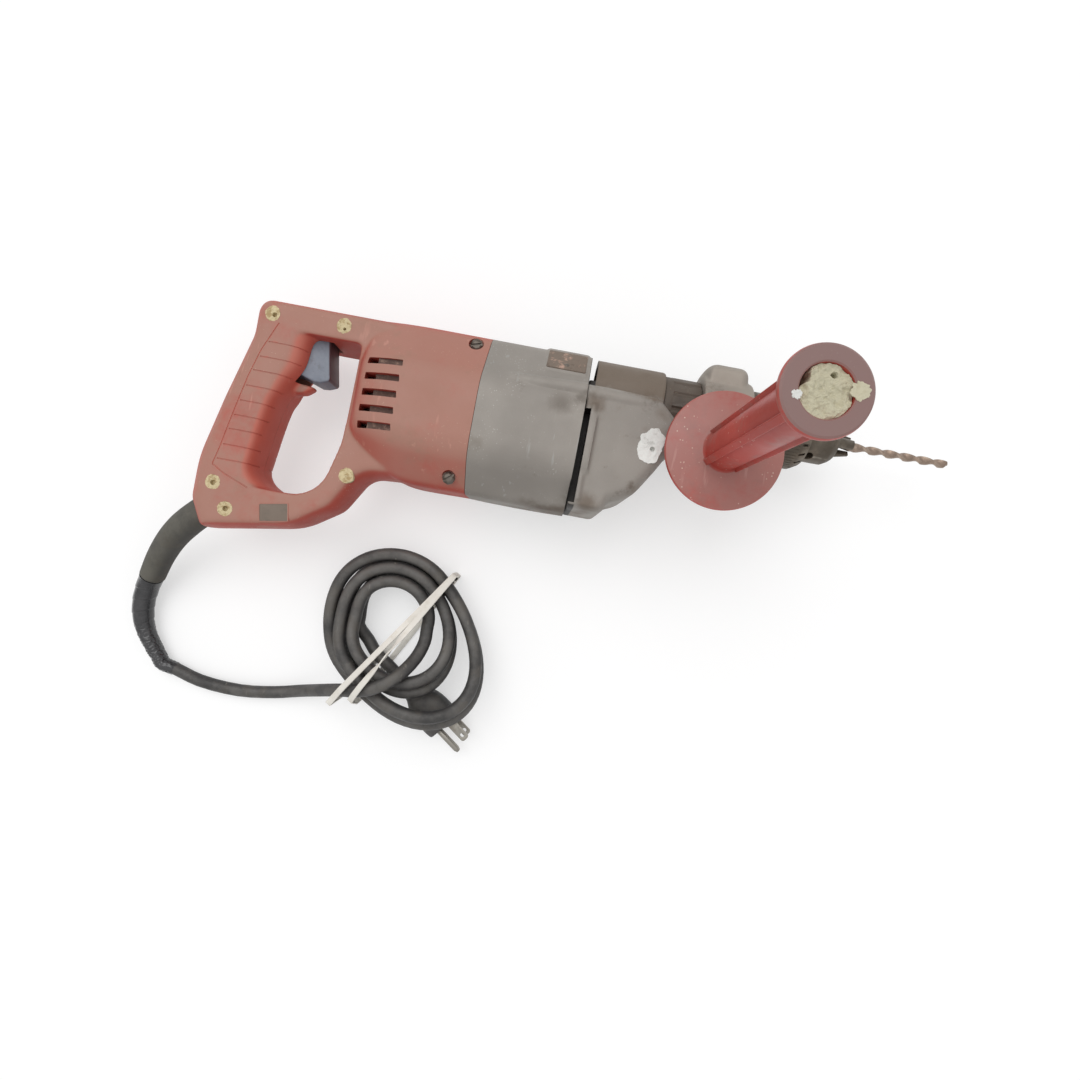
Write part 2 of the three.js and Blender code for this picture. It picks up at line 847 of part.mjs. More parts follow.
// Armature: shaft with its pinion, core, commutator and fan
function angleTo(fromY, fromZ, toY, toZ) {
  return Math.atan2(toZ - fromZ, toY - fromY);
}
const toIdler = angleTo(0, 0, idlerRise, -idlerDrop);
const toSpindle = angleTo(idlerRise, -idlerDrop, spindleRise, 0);
const idlerZ = middle - idlerDrop;
const gearRear = plateFront + 1.6 * runGap;
const fastRear = gearRear;
const fastFront = fastRear + idlerGearWidth;

function armatureShaftPiece() {
  const pinionRoot = (armatureTeeth * fastModule) / 2 - gearShares.root * fastModule;
  const shaft = rodX(armatureShaft, rearBearingBack, plateFront - seatGap, 0, middle, 16);
  const pinion = gear(armatureTeeth, fastModule, toIdler, plateFront - endGap, fastFront + endGap / 2, 0, middle);
  const neck = rodX(pinionRoot + fastModule, plateFront - endGap, plateFront, 0, middle, 16);
  return join(shaft, neck, pinion);
}

function slottedRod(outer, slotDepthHere, slots, slotShare, rear, front, bore) {
  const step = (2 * Math.PI) / slots;
  const points = [];
  for (let k = 0; k < slots; k++) {
    const wide = (step * (1 - slotShare)) / 2;
    for (const angle of [k * step - wide, k * step, k * step + wide]) {
      points.push(new THREE.Vector2(outer * Math.cos(angle), outer * Math.sin(angle)));
    }
    const floor = outer - slotDepthHere;
    for (const angle of [k * step + wide, (k + 1) * step - wide]) {
      points.push(new THREE.Vector2(floor * Math.cos(angle), floor * Math.sin(angle)));
    }
  }
  const body = moved(bar(points, rear, front), 0, 0, middle);
  return cut(body, rodX(bore, rear - overrun, front + overrun, 0, middle, 16));
}

function armatureCore() {
  const depth = armatureRadius * coreSlotDepth;
  const bore = armatureShaft + seatGap;
  return slottedRod(armatureRadius, depth, armatureSlots, coreSlotShare, fieldRearX, fieldFrontX, bore);
}

// Winding: a cone at each end of the core and a bar through each slot
function armatureWinding() {
  const outer = armatureRadius * 0.84;
  const bore = armatureShaft + seatGap;
  const rear = commutatorFront + seatGap;
  const front = fieldFrontX + windingOverhang;
  const behind = [
    [bore, rear],
    [commutatorRadius, rear],
    [outer, fieldRearX - windingOverhang],
    [outer, fieldRearX - seatGap],
    [bore, fieldRearX - seatGap],
  ];
  const ahead = [
    [bore, fieldFrontX + seatGap],
    [outer, fieldFrontX + seatGap],
    [outer, front - endGap],
    [commutatorRadius, front],
    [bore, front],
  ];
  const floor = armatureRadius * (1 - coreSlotDepth) + seatGap;
  const wide = (Math.PI / armatureSlots) * coreSlotShare - seatGap / floor;
  const bars = [];
  for (let k = 0; k < armatureSlots; k++) {
    const centre = ((k + 0.5) * 2 * Math.PI) / armatureSlots;
    const outline = sector(floor, armatureRadius - seatGap, centre - wide, centre + wide, 1);
    bars.push(moved(bar(outline, fieldRearX - endGap, fieldFrontX + endGap), 0, 0, middle));
  }
  return join(turnedAlongX(behind, 0, middle, 12), turnedAlongX(ahead, 0, middle, 12), ...bars);
}
const coreSlotDepth = 0.25; // share of the armature's radius
const coreSlotShare = 0.3; // of the way round

function commutator() {
  return slottedRod(
    commutatorRadius,
    commutatorRadius * 0.1,
    commutatorBars,
    0.16,
    commutatorRear,
    commutatorFront,
    armatureShaft + seatGap,
  );
}

function fan() {
  const front = castingFront - fanSetIn;
  const rear = front - fanWidth;
  const plate = fanWidth / 5;
  const hub = armatureShaft * 1.8;
  const disc = rodX(fanRadius, rear, rear + plate, 0, middle, 18);
  const boss = rodX(hub, rear, front, 0, middle, 9);
  const blades = [];
  for (let k = 0; k < fanBlades; k++) {
    const blade = boxOf(rear + plate / 2, front, hub * 0.8, fanRadius * 0.97, -plate / 2, plate / 2);
    blades.push(moved(blade.rotate([(360 * k) / fanBlades, 0, 0]), 0, 0, middle));
  }
  const bore = rodX(armatureShaft + seatGap, rear - overrun, front + overrun, 0, middle, 16);
  return cut(join(disc, boss, ...blades), bore);
}

function ballBearing(outer, inner, rear, front, y) {
  const groove = (front - rear) * 0.08;
  const [low, high] = [THREE.MathUtils.lerp(inner, outer, 0.3), THREE.MathUtils.lerp(inner, outer, 0.75)];
  const profile = [
    [inner, rear],
    [low, rear + groove],
    [high, rear + groove],
    [outer, rear],
    [outer, front],
    [high, front - groove],
    [low, front - groove],
    [inner, front],
  ];
  return turnedAlongX(profile, y, middle, 12);
}

function brush(side) {
  const start = commutatorRadius + seatGap;
  const centre = (commutatorFront + commutatorRear) / 2;
  const [deep, wide] = [brushDepth / 2, brushWidth / 2];
  const block = boxOf(centre - deep, centre + deep, start, start + brushLength, -wide, wide);
  return moved(side > 0 ? block : block.rotate([180, 0, 0]), 0, 0, middle);
}

function brushHolder(side) {
  const centre = (commutatorFront + commutatorRear) / 2;
  const start = commutatorRadius + endGap;
  const end = rearBoreRadius - seatGap;
  const [deep, wide] = [brushDepth / 2 + seatGap, brushWidth / 2 + seatGap];
  const outer = boxOf(
    centre - deep - holderWall,
    centre + deep + holderWall,
    start,
    Math.sqrt(end ** 2 - (wide + holderWall) ** 2),
    -wide - holderWall,
    wide + holderWall,
  );
  const bore = boxOf(centre - deep, centre + deep, start - overrun, end - holderWall * 2, -wide, wide);
  const holder = cut(outer, bore);
  return moved(side > 0 ? holder : holder.rotate([180, 0, 0]), 0, 0, middle);
}

// Motor casting
function motorCasting() {
  const body = solidOf(
    loft([
      bodySection(jointPlane, middle, motorBottom, topRise),
      bodySection(0, middle, motorBottom + seatGap * 2, topRise),
      bodySection(castingFront, middle, motorBottom, topRise),
    ]),
  );
  const padFront = castingFront - padSetback;
  const pad = boxOf(
    padFront - padLength,
    padFront,
    topRise + seatGap * 2 - padHeight,
    topRise + seatGap * 2,
    middle - padWidth / 2,
    middle + padWidth / 2,
  );
  const bore = rodX(motorBore + seatGap, jointPlane - overrun, castingFront + overrun, 0, middle, 24);
  const spindleBay = rodX(
    barrelRadius - chamberWall * 2,
    jointPlane + castingWall,
    castingFront + overrun,
    spindleRise,
    middle,
    20,
  );
  const shoulder = rodX(
    motorBore + castingWall,
    -castingFront,
    castingFront,
    0,
    middle,
    24,
  );
  return cut(join(body, pad), bore, cut(spindleBay, shoulder));
}

// Gearcase: spindle barrel on top, gearbox body with its curved belly below
const gearboxOutlineShares = [
  [0, -1, 0],
  [0.344, -1, 0.12],
  [0.35, -0.81, 0.05],
  [0.575, -0.58, 0.3],
  [0.885, 0.0, 0.3],
  [1, 0.23, 0.1],
  [0.995, 0.46, 0.12],
  [0.7, 0.89, 0.12],
  [0, 0.89, 0],
];

function gearcase() {
  const rear = castingFront + seatGap;
  const half = gearboxWidth / 2;
  const outline = gearboxOutlineShares.map(([ahead, up, rounding]) => [
    rear + ahead * gearboxReach,
    up * lugDepth,
    rounding * lugDepth,
  ]);
  const body = prism(roundedOutline(outline, 3), middle - half, middle + half, { round: gearcaseRound, roundSteps: 1 });
  const barrel = rodX(barrelRadius, rear, barrelFront, spindleRise, middle, 24);
  const rim = solidOf(
    loft([
      bodySection(rear, middle - seatGap * 2, motorBottom - castingWall / 2, topRise - castingWall * 4),
      bodySection(
        rear + plateSetIn * 1.6,
        middle - seatGap * 2,
        motorBottom - castingWall / 2,
        topRise - castingWall * 4,
      ),
    ]),
  );
  const modeRoom = turnedAlongX(
    [
      [0, barrelFront],
      [modeRingRadius + 2 * seatGap, barrelFront],
      [modeRingRadius + 2 * seatGap, barrelFront + gearboxReach],
      [0, barrelFront + gearboxReach],
    ],
    spindleRise,
    middle,
    24,
  );
  const outer = join(body, barrel, rim);
  return cut(outer, modeRoom, ...gearSpaces(), ...coolingOutlets(), ...topNotch());
}

function gearSpaces() {
  const rear = castingFront + seatGap;
  const idlerTip = ((idlerGearTeeth + 2 * gearShares.tip) * fastModule) / 2;
  const pinionTip = ((idlerPinionTeeth + 2 * gearShares.tip) * slowModule) / 2;
  const plateSeat = solidOf(
    loft(
      [rear - overrun, plateFront].map((x) =>
        bodySection(x, middle, motorBottom, plateTop, plateInset),
      ),
    ),
  );
  const chamber = barrelRadius - chamberWall;
  return [
    plateSeat,
    rodX(chamber, rear - overrun, chamberFront, spindleRise, middle, 20),
    rodX(idlerTip + endGap / 2, plateFront - overrun, slowRear, idlerRise, idlerZ, 16),
    rodX(pinionTip + endGap / 2, slowRear - overrun, slowFront + endGap, idlerRise, idlerZ, 16),
    rodX(idlerShaft + seatGap, slowFront, slowFront + 2 * endGap, idlerRise, idlerZ, 16),
    rodX(armatureShaft + endGap / 2, plateFront - overrun, slowRear + endGap, 0, middle, 16),
    rodX(spigotRadius + seatGap, chamberFront - overrun, barrelFront + overrun, spindleRise, middle, 18),
  ];
}
const plateTop = 58;
const plateInset = 9;
const spigotRadius = 12.5;
const slowRear = fastFront + floatTravel + seatGap;
const slowFront = slowRear + spindleGearWidth + floatTravel;

function coolingOutlets() {
  const rear = castingFront;
  const front = rear + slotWidth;
  return [
    boxOf(rear, front, -slotBottom, slotTop, middle + slotDepth, bodyWidth + overrun),
    boxOf(rear, front, -slotBottom, slotTop, -overrun, middle - slotDepth),
  ];
}

function topNotch() {
  const rear = castingFront;
  return [
    boxOf(
      rear,
      rear + notchWidth,
      topRise - notchDepth,
      topRise + 2 * overrun,
      -overrun,
      bodyWidth + overrun,
    ),
  ];
}

function bearingPlate() {
  const plate = solidOf(
    loft(
      [plateRear, plateFront].map((x) =>
        bodySection(x, middle, motorBottom, plateTop, plateInset + seatGap),
      ),
    ),
  );
  const journal = rearJournal + runGap;
  return cut(
    plate,
    rodX(armatureBearing + seatGap, plateRear - overrun, plateFront + overrun, 0, middle, 20),
    rodX(journal, plateRear - overrun, plateFront + overrun, spindleRise, middle, 20),
    rodX(idlerShaft + seatGap, plateRear + endGap, plateFront + overrun, idlerRise, idlerZ, 16),
  );
}

function idlerGear() {
  const body = gear(
    idlerGearTeeth,
    fastModule,
    toIdler + Math.PI + Math.PI / idlerGearTeeth,
    fastRear,
    fastFront,
    idlerRise,
    idlerZ,
  );
  const bore = rodX(idlerShaft + seatGap, fastRear - overrun, fastFront + overrun, idlerRise, idlerZ, 16);
  return cut(body, bore);
}

function idlerPinion() {
  const front = slowFront + 2 * endGap - seatGap;
  const shaft = rodX(idlerShaft, plateRear + endGap + seatGap, front, idlerRise, idlerZ, 16);
  const teeth = gear(
    idlerPinionTeeth,
    slowModule,
    toSpindle,
    fastFront + seatGap,
    fixedRatchetRear - seatGap,
    idlerRise,
    idlerZ,
  );
  return join(shaft, teeth);
}

// Spindle and what turns with it
const gearX = slowRear;
const gearFrontX = gearX + spindleGearWidth;
const washerThickness = 2;
const fixedRatchetRear = gearFrontX + 2 * seatGap;
const fixedRatchetFront = fixedRatchetRear + ratchetThickness;
const movingTeeth = fixedRatchetFront + ratchetToothHeight + ratchetRest;
const movingRatchetFront = movingTeeth + ratchetToothHeight + ratchetThickness;

function spindle() {
  const profile = [
    [0, plateRear + floatTravel + seatGap],
    [rearJournal, plateRear + floatTravel + seatGap],
    [rearJournal, gearX - seatGap],
    [shaftRadius, gearX - seatGap],
    [shaftRadius, chuckRear - endGap],
    [shaftRadius * 1.3, chuckRear - endGap],
    [shaftRadius * 1.3, chuckRear - seatGap],
    [spindleThread, chuckRear - seatGap],
    [spindleThread, chuckRear + threadLength - seatGap],
    [spindleThread * 0.85, chuckRear + threadLength + seatGap],
    [0, chuckRear + threadLength + seatGap],
  ];
  return turnedAlongX(profile, spindleRise, middle, 20);
}

function spindleGear() {
  const body = gear(
    spindleTeeth,
    slowModule,
    toSpindle + Math.PI + Math.PI / spindleTeeth,
    gearX,
    gearFrontX,
    spindleRise,
    middle,
  );
  const bore = rodX(shaftRadius + seatGap, gearX - overrun, gearFrontX + overrun, spindleRise, middle, 20);
  return cut(body, bore);
}

// A ring with sloping teeth on one face; toothFace is +1 for forward, -1 for back
function ratchet(rear, front, inner, outer, toothFace) {
  const steps = ratchetTeeth * 4;
  const rings = [[], [], [], []];
  for (let k = 0; k < steps; k++) {
    const angle = (2 * Math.PI * k) / steps;
    const rise = ratchetToothHeight * [0, 1, 1, 0][k % 4];
    const [c, s] = [Math.cos(angle), Math.sin(angle)];
    const at = (x, r) => new THREE.Vector3(x, spindleRise + r * c, middle + r * s);
    const toothed = toothFace > 0 ? front + rise : rear - rise;
    const plain = toothFace > 0 ? rear : front;
    rings[0].push(at(plain, inner));
    rings[1].push(at(plain, outer));
    rings[2].push(at(toothed, outer));
    rings[3].push(at(toothed, inner));
  }
  return solidOf(closedSleeve(rings));
}

// Rings joined one to the next and the last to the first, as a ring-shaped solid
function closedSleeve(rings) {
  const places = [];
  const count = rings[0].length;
  for (let i = 0; i < rings.length; i++) {
    const [here, there] = [rings[i], rings[(i + 1) % rings.length]];
    for (let k = 0; k < count; k++) {
      const next = (k + 1) % count;
      for (const p of [here[k], here[next], there[next], here[k], there[next], there[k]]) {
        places.push(p.x, p.y, p.z);
      }
    }
  }
  const geometry = new THREE.BufferGeometry();
  geometry.setAttribute('position', new THREE.Float32BufferAttribute(places, 3));
  return geometry;
}

function thrustWasher() {
  return tubeX(
    idlerSideRoom,
    rearJournal + runGap,
    gearX - washerThickness - seatGap,
    gearX - seatGap * 2,
    spindleRise,
    middle,
    20,
  );
}
const idlerSideRoom = slowCentre - ((idlerGearTeeth + 2 * gearShares.tip) * fastModule) / 2 - seatGap;

function hammerSpring() {
  const wire = springWire / 2;
  const rear = plateFront + seatGap + wire;
  const front = gearX - washerThickness - seatGap * 2 - wire;
  const radius = rearJournal + runGap + seatGap + wire;
  const steps = springTurns * 10;
  const rings = [];
  for (let i = 0; i <= steps; i++) {
    const turn = (2 * Math.PI * i) / 10;
    const x = THREE.MathUtils.lerp(rear, front, i / steps);
    const out = new THREE.Vector3(0, Math.cos(turn), Math.sin(turn));
    const centre = new THREE.Vector3(x, spindleRise, middle).addScaledVector(out, radius);
    const ring = [];
    for (let k = 0; k < 5; k++) {
      const angle = (2 * Math.PI * k) / 5;
      const along = new THREE.Vector3(Math.sin(angle) * wire, 0, 0);
      ring.push(centre.clone().addScaledVector(out, wire * Math.cos(angle)).add(along));
    }
    rings.push(ring);
  }
  return solidOf(loft(rings));
}

// Nose: spigot in the gearcase, neck under the mode ring, collar under the clamp
function noseSleeve() {
  const rear = chamberFront + seatGap;
  const bearingRear = collarFront - endGap - bearingWidth - seatGap;
  const bore = shaftRadius + 2 * runGap;
  const profile = [
    [bore, rear],
    [spigotRadius, rear],
    [spigotRadius, barrelFront + seatGap],
    [neckRadius, barrelFront + seatGap],
    [neckRadius, collarRear],
    [collarRadius, collarRear],
    [collarRadius, collarFront],
    [spindleBearing + seatGap, collarFront],
    [spindleBearing + seatGap, bearingRear],
    [bore, bearingRear],
  ];
  return turnedAlongX(profile, spindleRise, middle, 18);
}

function modeRing() {
  const rear = barrelFront + seatGap;
  const front = rear + modeRingWidth;
  const step = (2 * Math.PI) / modeGrips;
  const points = [];
  for (let k = 0; k < modeGrips; k++) {
    for (const [share, depth] of [[0, 0], [0.62, 0], [0.72, 1], [0.9, 1]]) {
      const angle = (k + share) * step;
      const radius = modeRingRadius - depth * modeGripDepth;
      points.push(new THREE.Vector2(radius * Math.cos(angle), radius * Math.sin(angle)));
    }
  }
  const grooved = moved(bar(points, rear + modeRingWidth * 0.2, front), 0, spindleRise, middle);
  const rim = rodX(modeRingRadius, rear, rear + modeRingWidth * 0.22, spindleRise, middle, 28);
  const bore = rodX(neckRadius + 2 * runGap, rear - overrun, front + overrun, spindleRise, middle, 18);
  return cut(join(grooved, rim), bore);
}
const modeGripDepth = 0.9;

function clampRing() {
  const half = clampWidth / 2;
  const [rear, front] = [clampMiddle - half, clampMiddle + half];
  const ring = rodX(clampRadius, rear, front, spindleRise, middle, 20);
  const lugHalf = clampLugWidth / 2;
  const lugOutline = roundedOutline(
    [
      [rear, spindleRise, 0],
      [front, spindleRise, 0],
      [front, spindleRise + clampLug, half * 0.45],
      [rear, spindleRise + clampLug, half * 0.45],
    ],
    3,
  );
  const lug = prism(lugOutline, middle - lugHalf, middle + lugHalf, { round: edgeRound, roundSteps: 1 });
  const boss = rodZ(clampBossRadius, middle - clampFoot, middle + clampBossTop, gripX, gripY, 16);
  const web = boxOf(
    gripX - clampBossRadius,
    gripX + clampBossRadius,
    gripY,
    spindleRise,
    middle - clampFoot,
    middle + clampFoot,
  );
  const split = boxOf(
    rear - overrun,
    front + overrun,
    gripY - clampBossRadius - overrun,
    spindleRise,
    middle - clampSplit / 2,
    middle + clampSplit / 2,
  );
  const bore = rodX(collarRadius + 2 * seatGap, rear - overrun, front + overrun, spindleRise, middle, 18);
  const studHole = rodZ(
    studRadius + seatGap,
    middle - clampFoot - overrun,
    middle + clampBossTop + overrun,
    gripX,
    gripY,
    16,
  );
  return cut(join(ring, lug, boss, web), bore, split, studHole);
}

// Side handle: flange, ribbed barrel and hollow end, turned about its own axis
function sideHandle() {
  const flange = middle + flangeTop;
  const end = flange + sideGripLength;
  const under = middle + clampBossTop + seatGap;
  const hollow = end - endHollowDepth;
  const neck = endFlangeThickness * 0.8;
  const profile = [
    [0, under],
    [hubRadius, under],
    [hubRadius, flange - flangeThickness],
    [flangeRadius - flangeEase, flange - flangeThickness],
    [flangeRadius, flange - flangeThickness + flangeEase],
    [flangeRadius, flange - flangeEase],
    [flangeRadius - flangeEase, flange],
    [sideGripBase, flange],
    [sideGripBase, end - endFlangeThickness - neck],
    [endFlangeRadius - flangeEase, end - endFlangeThickness],
    [endFlangeRadius, end - endFlangeThickness + flangeEase],
    [endFlangeRadius, end - flangeEase],
    [endFlangeRadius - flangeEase, end],
    [endHollow, end],
    [endHollow, hollow],
    [0, hollow],
  ];
  const body = turnedAlongZ(profile, 0, 0, 20);
  const ribs = [0, 1, 2, 3].map((k) => {
    const rib = boxOf(
      sideGripBase * 0.9,
      ribRadius,
      -ribWidth / 2,
      ribWidth / 2,
      flange - flangeThickness / 2,
      end - endFlangeThickness / 2,
    );
    return rib.rotate([0, 0, ribTurn + 90 * k]);
  });
  const socket = rodZ(studRadius + seatGap, under - overrun, flange + studReach + seatGap, 0, 0, 16);
  return moved(cut(join(body, ...ribs), socket), gripX, gripY, 0);
}
const ribTurn = -138; // degrees; one rib faces back and down

function fillerPlug() {
  const end = middle + flangeTop + sideGripLength;
  const top = end - fillerSetIn;
  const floor = end - endHollowDepth + seatGap;
  const radius = endHollow - seatGap;
  const profile = [
    [0, floor],
    [radius, floor],
    [radius, top - 1.5],
    [radius * 0.75, top],
    [0, top - 0.5],
  ];
  return turnedAlongZ(profile, gripX, gripY, 24);
}

function clampStud() {
  const foot = middle - clampFoot;
  const head = foot - seatGap;
  const top = middle + flangeTop + studReach;
  const shank = rodZ(studRadius, head - studHeadHeight / 2, top, gripX, gripY, 16);
  const hex = rodZ(studHeadRadius, head - studHeadHeight, head, gripX, gripY, 6);
  return join(shank, hex);
}

// Chuck
function jawPath(index) {
  const turn = (index * 2 * Math.PI) / 3 + jawPhase;
  const out = new THREE.Vector3(0, Math.cos(turn), Math.sin(turn));
  const tilt = THREE.MathUtils.degToRad(jawTilt);
  const back = new THREE.Vector3(-Math.cos(tilt), 0, 0).addScaledVector(out, Math.sin(tilt));
  const tip = new THREE.Vector3(jawTipX, spindleRise, middle).addScaledVector(out, jawAxisAtTip);
  return { out, back, tip, turn };
}
const jawPhase = Math.PI / 2;

function jawRod(index, radius, from, to, sides) {
  const { back, tip } = jawPath(index);
  const rod = new THREE.CylinderGeometry(radius, radius, to - from, sides);
  const turned = new THREE.Quaternion().setFromUnitVectors(new THREE.Vector3(0, 1, 0), back);
  rod.applyQuaternion(turned);
  const centre = tip.clone().addScaledVector(back, (from + to) / 2);
  return moved(solidOf(rod), centre.x, centre.y, centre.z);
}

function chuckJaw(index) {
  const { turn } = jawPath(index);
  const rod = jawRod(index, jawRadius, -jawRadius, jawLength, 12);
  const grip = bitDiameter / 2 + seatGap;
  const reach = chuckLength;
  const flat = jawRadius / 5;
  const wedge = [
    new THREE.Vector2(grip, -flat),
    new THREE.Vector2(grip, flat),
    new THREE.Vector2(grip + reach / 2, flat + (reach * Math.sqrt(3)) / 2),
    new THREE.Vector2(grip + reach / 2, -flat - (reach * Math.sqrt(3)) / 2),
  ];
  const sector = bar(wedge, jawTipX - reach, jawTipX).rotate([THREE.MathUtils.radToDeg(turn), 0, 0]);
  return rod.intersect(moved(sector, 0, spindleRise, middle));
}

function chuckBody() {
  const noseStart = chuckRear + chuckFlangeWidth + sleeveLength + 2 * seatGap;
  const front = chuckRear + chuckLength;
  const grooveRear = nutRear - seatGap;
  const grooveFront = nutRear + nutWidth + seatGap;
  const groove = chuckNose - 1;
  const profile = [
    [0, chuckRear],
    [chuckFlangeRadius - 1.5, chuckRear],
    [chuckFlangeRadius, chuckRear + 1.5],
    [chuckFlangeRadius, chuckRear + chuckFlangeWidth - 1],
    [chuckFlangeRadius - 1, chuckRear + chuckFlangeWidth],
    [chuckCore, chuckRear + chuckFlangeWidth],
    [chuckCore, grooveRear],
    [groove, grooveRear],
    [groove, grooveFront],
    [chuckNose, grooveFront],
    [chuckNose, noseStart + chuckNose],
    [noseTip, front - 2],
    [noseTip - 1.5, front],
    [0, front],
  ];
  const body = turnedAlongX(profile, spindleRise, middle, 20);
  const thread = rodX(
    spindleThread + seatGap,
    chuckRear - overrun,
    chuckRear + threadLength + endGap,
    spindleRise,
    middle,
    14,
  );
  const bore = rodX(chuckCapacity / 2 + seatGap, bitRear - endGap, front + overrun, spindleRise, middle, 14);
  const jawBores = [0, 1, 2].map((k) =>
    jawRod(k, jawRadius + seatGap, -jawRadius, jawLength + jawTravel + endGap, 12),
  );
  const keyHoles = [0, 1, 2].map((k) => {
    const hole = rodZ(keyHole, chuckNose * 0.55, chuckNose + overrun, noseStart + keyHole, 0, 8);
    return moved(hole.rotate([120 * k + 60, 0, 0]), 0, spindleRise, middle);
  });
  return cut(body, thread, bore, ...jawBores, ...keyHoles);
}
const jawTravel = (chuckCapacity - bitDiameter) / 2 / Math.sin(THREE.MathUtils.degToRad(jawTilt));
const bitRear = jawTipX + bitReach - bitLength;
const sleeveRear = chuckRear + chuckFlangeWidth + seatGap;
const sleeveFront = sleeveRear + sleeveLength;
const nutRear = sleeveFront - nutWidth * 2.2;

function chuckSleeve() {
  const cone = nutWidth;
  const web = nutRear + nutWidth + seatGap;
  const profile = [
    [sleeveBore, sleeveRear],
    [sleeveRadius - 1, sleeveRear],
    [sleeveRadius, sleeveRear + 1],
    [sleeveRadius, sleeveFront - cone],
    [sleeveFrontBore + cone / 2, sleeveFront],
    [sleeveFrontBore, sleeveFront],
    [sleeveFrontBore, web],
    [sleeveBore, web],
  ];
  const body = turnedAlongX(profile, spindleRise, middle, sleeveTeeth);
  const notches = [];
  for (let k = 0; k < sleeveTeeth; k++) {
    const notch = boxOf(-toothDepth, overrun, -nutWidth, nutWidth, -toothDepth / 2, toothDepth / 2);
    const tilted = moved(notch.rotate([0, 0, toothTilt]), sleeveFront - cone / 2, toothRadius, 0);
    const turned = tilted.rotate([(360 * (k + 0.5)) / sleeveTeeth, 0, 0]);
    notches.push(moved(turned, 0, spindleRise, middle));
  }
  return cut(body, ...notches);
}
const toothTilt = 45; // degrees, along the sleeve's front cone
const toothRadius = (sleeveRadius + sleeveFrontBore + nutWidth / 2) / 2;

function chuckNut() {
  const rise = nutWidth * Math.tan(THREE.MathUtils.degToRad(jawTilt));
  const jawEdge = jawOuterAt(nutRear + nutWidth) + seatGap;
  const profile = [
    [jawEdge + rise, nutRear],
    [sleeveBore - seatGap, nutRear],
    [sleeveBore - seatGap, nutRear + nutWidth],
    [jawEdge, nutRear + nutWidth],
  ];
  return turnedAlongX(profile, spindleRise, middle, 20);
}

function jawOuterAt(x) {
  const tilt = THREE.MathUtils.degToRad(jawTilt);
  return jawAxisAtTip + (jawTipX - x) * Math.tan(tilt) + jawRadius / Math.cos(tilt);
}

// Twist bit: two flutes wound round the core from the jaws to the point
const bitSectionShares = [1, 0.98, 0.62, 0.5, 0.62, 0.9, 1, 0.98, 0.62, 0.5, 0.62, 0.9];

function twistBit() {
  const radius = bitDiameter / 2;
  const tip = jawTipX + bitReach;
  const cone = radius / Math.tan(THREE.MathUtils.degToRad(bitTipAngle / 2));
  const fluteStart = jawTipX + radius;
  const steps = Math.ceil(((tip - cone - fluteStart) / bitPitch) * 6);
  const count = bitSectionShares.length;
  const ringAt = (x, reach, turn, round) =>
    bitSectionShares.map((share, k) => {
      const angle = (2 * Math.PI * k) / count + turn;
      const r = reach * (round ? 1 : share);
      return new THREE.Vector3(x, spindleRise + r * Math.cos(angle), middle + r * Math.sin(angle));
    });
  const rings = [ringAt(bitRear, radius, 0, true), ringAt(jawTipX, radius, 0, true)];
  for (let i = 0; i <= steps; i++) {
    const x = THREE.MathUtils.lerp(fluteStart, tip - cone, i / steps);
    rings.push(ringAt(x, radius, (2 * Math.PI * (x - fluteStart)) / bitPitch, false));
  }
  rings.push(ringAt(tip, radius * 0.12, (2 * Math.PI * (tip - fluteStart)) / bitPitch, false));
  return solidOf(loft(rings));
}

// Trigger with its moulded pivot studs, the switch and the lock button
const triggerOutlineShares = [
  [0.3, 0.1, 0.1],
  [0.325, -0.07, 0.2],
  [0.405, -0.5, 0.3],
  [0.5, -0.965, 0.08],
  [0.29, -1.05, 0.1],
  [0.13, -1.065, 0.1],
  [-0.11, -0.99, 0.1],
  [-0.3, -0.93, 0.1],
  [-0.62, -0.9, 0.1],
  [-0.62, -0.1, 0.1],
  [-0.25, 0.15, 0.15],
  [0.05, 0.15, 0.15],
];

function trigger() {
  const pinX = jointPlane - triggerPinSetback;
  const outline = roundedOutline(
    triggerOutlineShares.map(([ahead, up, rounding]) => [
      pinX + ahead * triggerDepth,
      triggerPinRise + up * triggerHeight,
      rounding * triggerHeight,
    ]),
    1,
  );
  const half = triggerThickness / 2;
  const body = prism(outline, middle - half, middle + half, { round: 1.5, roundSteps: 1 });
  const reach = triggerPinLength / 2;
  return join(body, rodZ(triggerPin / 2, middle - reach, middle + reach, pinX, triggerPinRise, 12));
}

function switchBody() {
  const { x, y } = switchPlace;
  const half = [switchLength, switchHeight, switchThickness].map((size) => size / 2);
  return boxOf(x - half[0], x + half[0], y - half[1], y + half[1], middle - half[2], middle + half[2]);
}

function lockButtonPiece() {
  const outer = middle - handleThickness / 2 - lockButtonProud;
  const profile = [
    [0, outer],
    [lockButton / 2 - 1, outer],
    [lockButton / 2, outer + 1],
    [lockButton / 2, outer + lockButtonLength],
    [0, outer + lockButtonLength],
  ];
  return turnedAlongZ(profile, jointPlane - lockButtonSetback, lockButtonRise, 14);
}

// Cord guard, tape wrap, cord, coil, plug and rubber band
const guardRoute = [
  [-198, -77, middle],
  [-210.6, -88.3, middle],
  [-223, -99.5, 37.5],
  [-234.5, -110.8, 29.5],
  [-244.5, -124.5, 21.5],
  [-252.4, -140.3, 14.6],
].map((p) => new THREE.Vector3(...p));

function cordGuard() {
  const tube = solidOf(taperedTube(guardRoute, [guardStart, guardStart, guardEnd], 12, 7));
  const [inner, exit] = guardRoute;
  const way = exit.clone().sub(inner).normalize();
  return join(tube, discAlong(inner, way, guardCollar, guardCollarWidth));
}
const guardCollarWidth = 5;

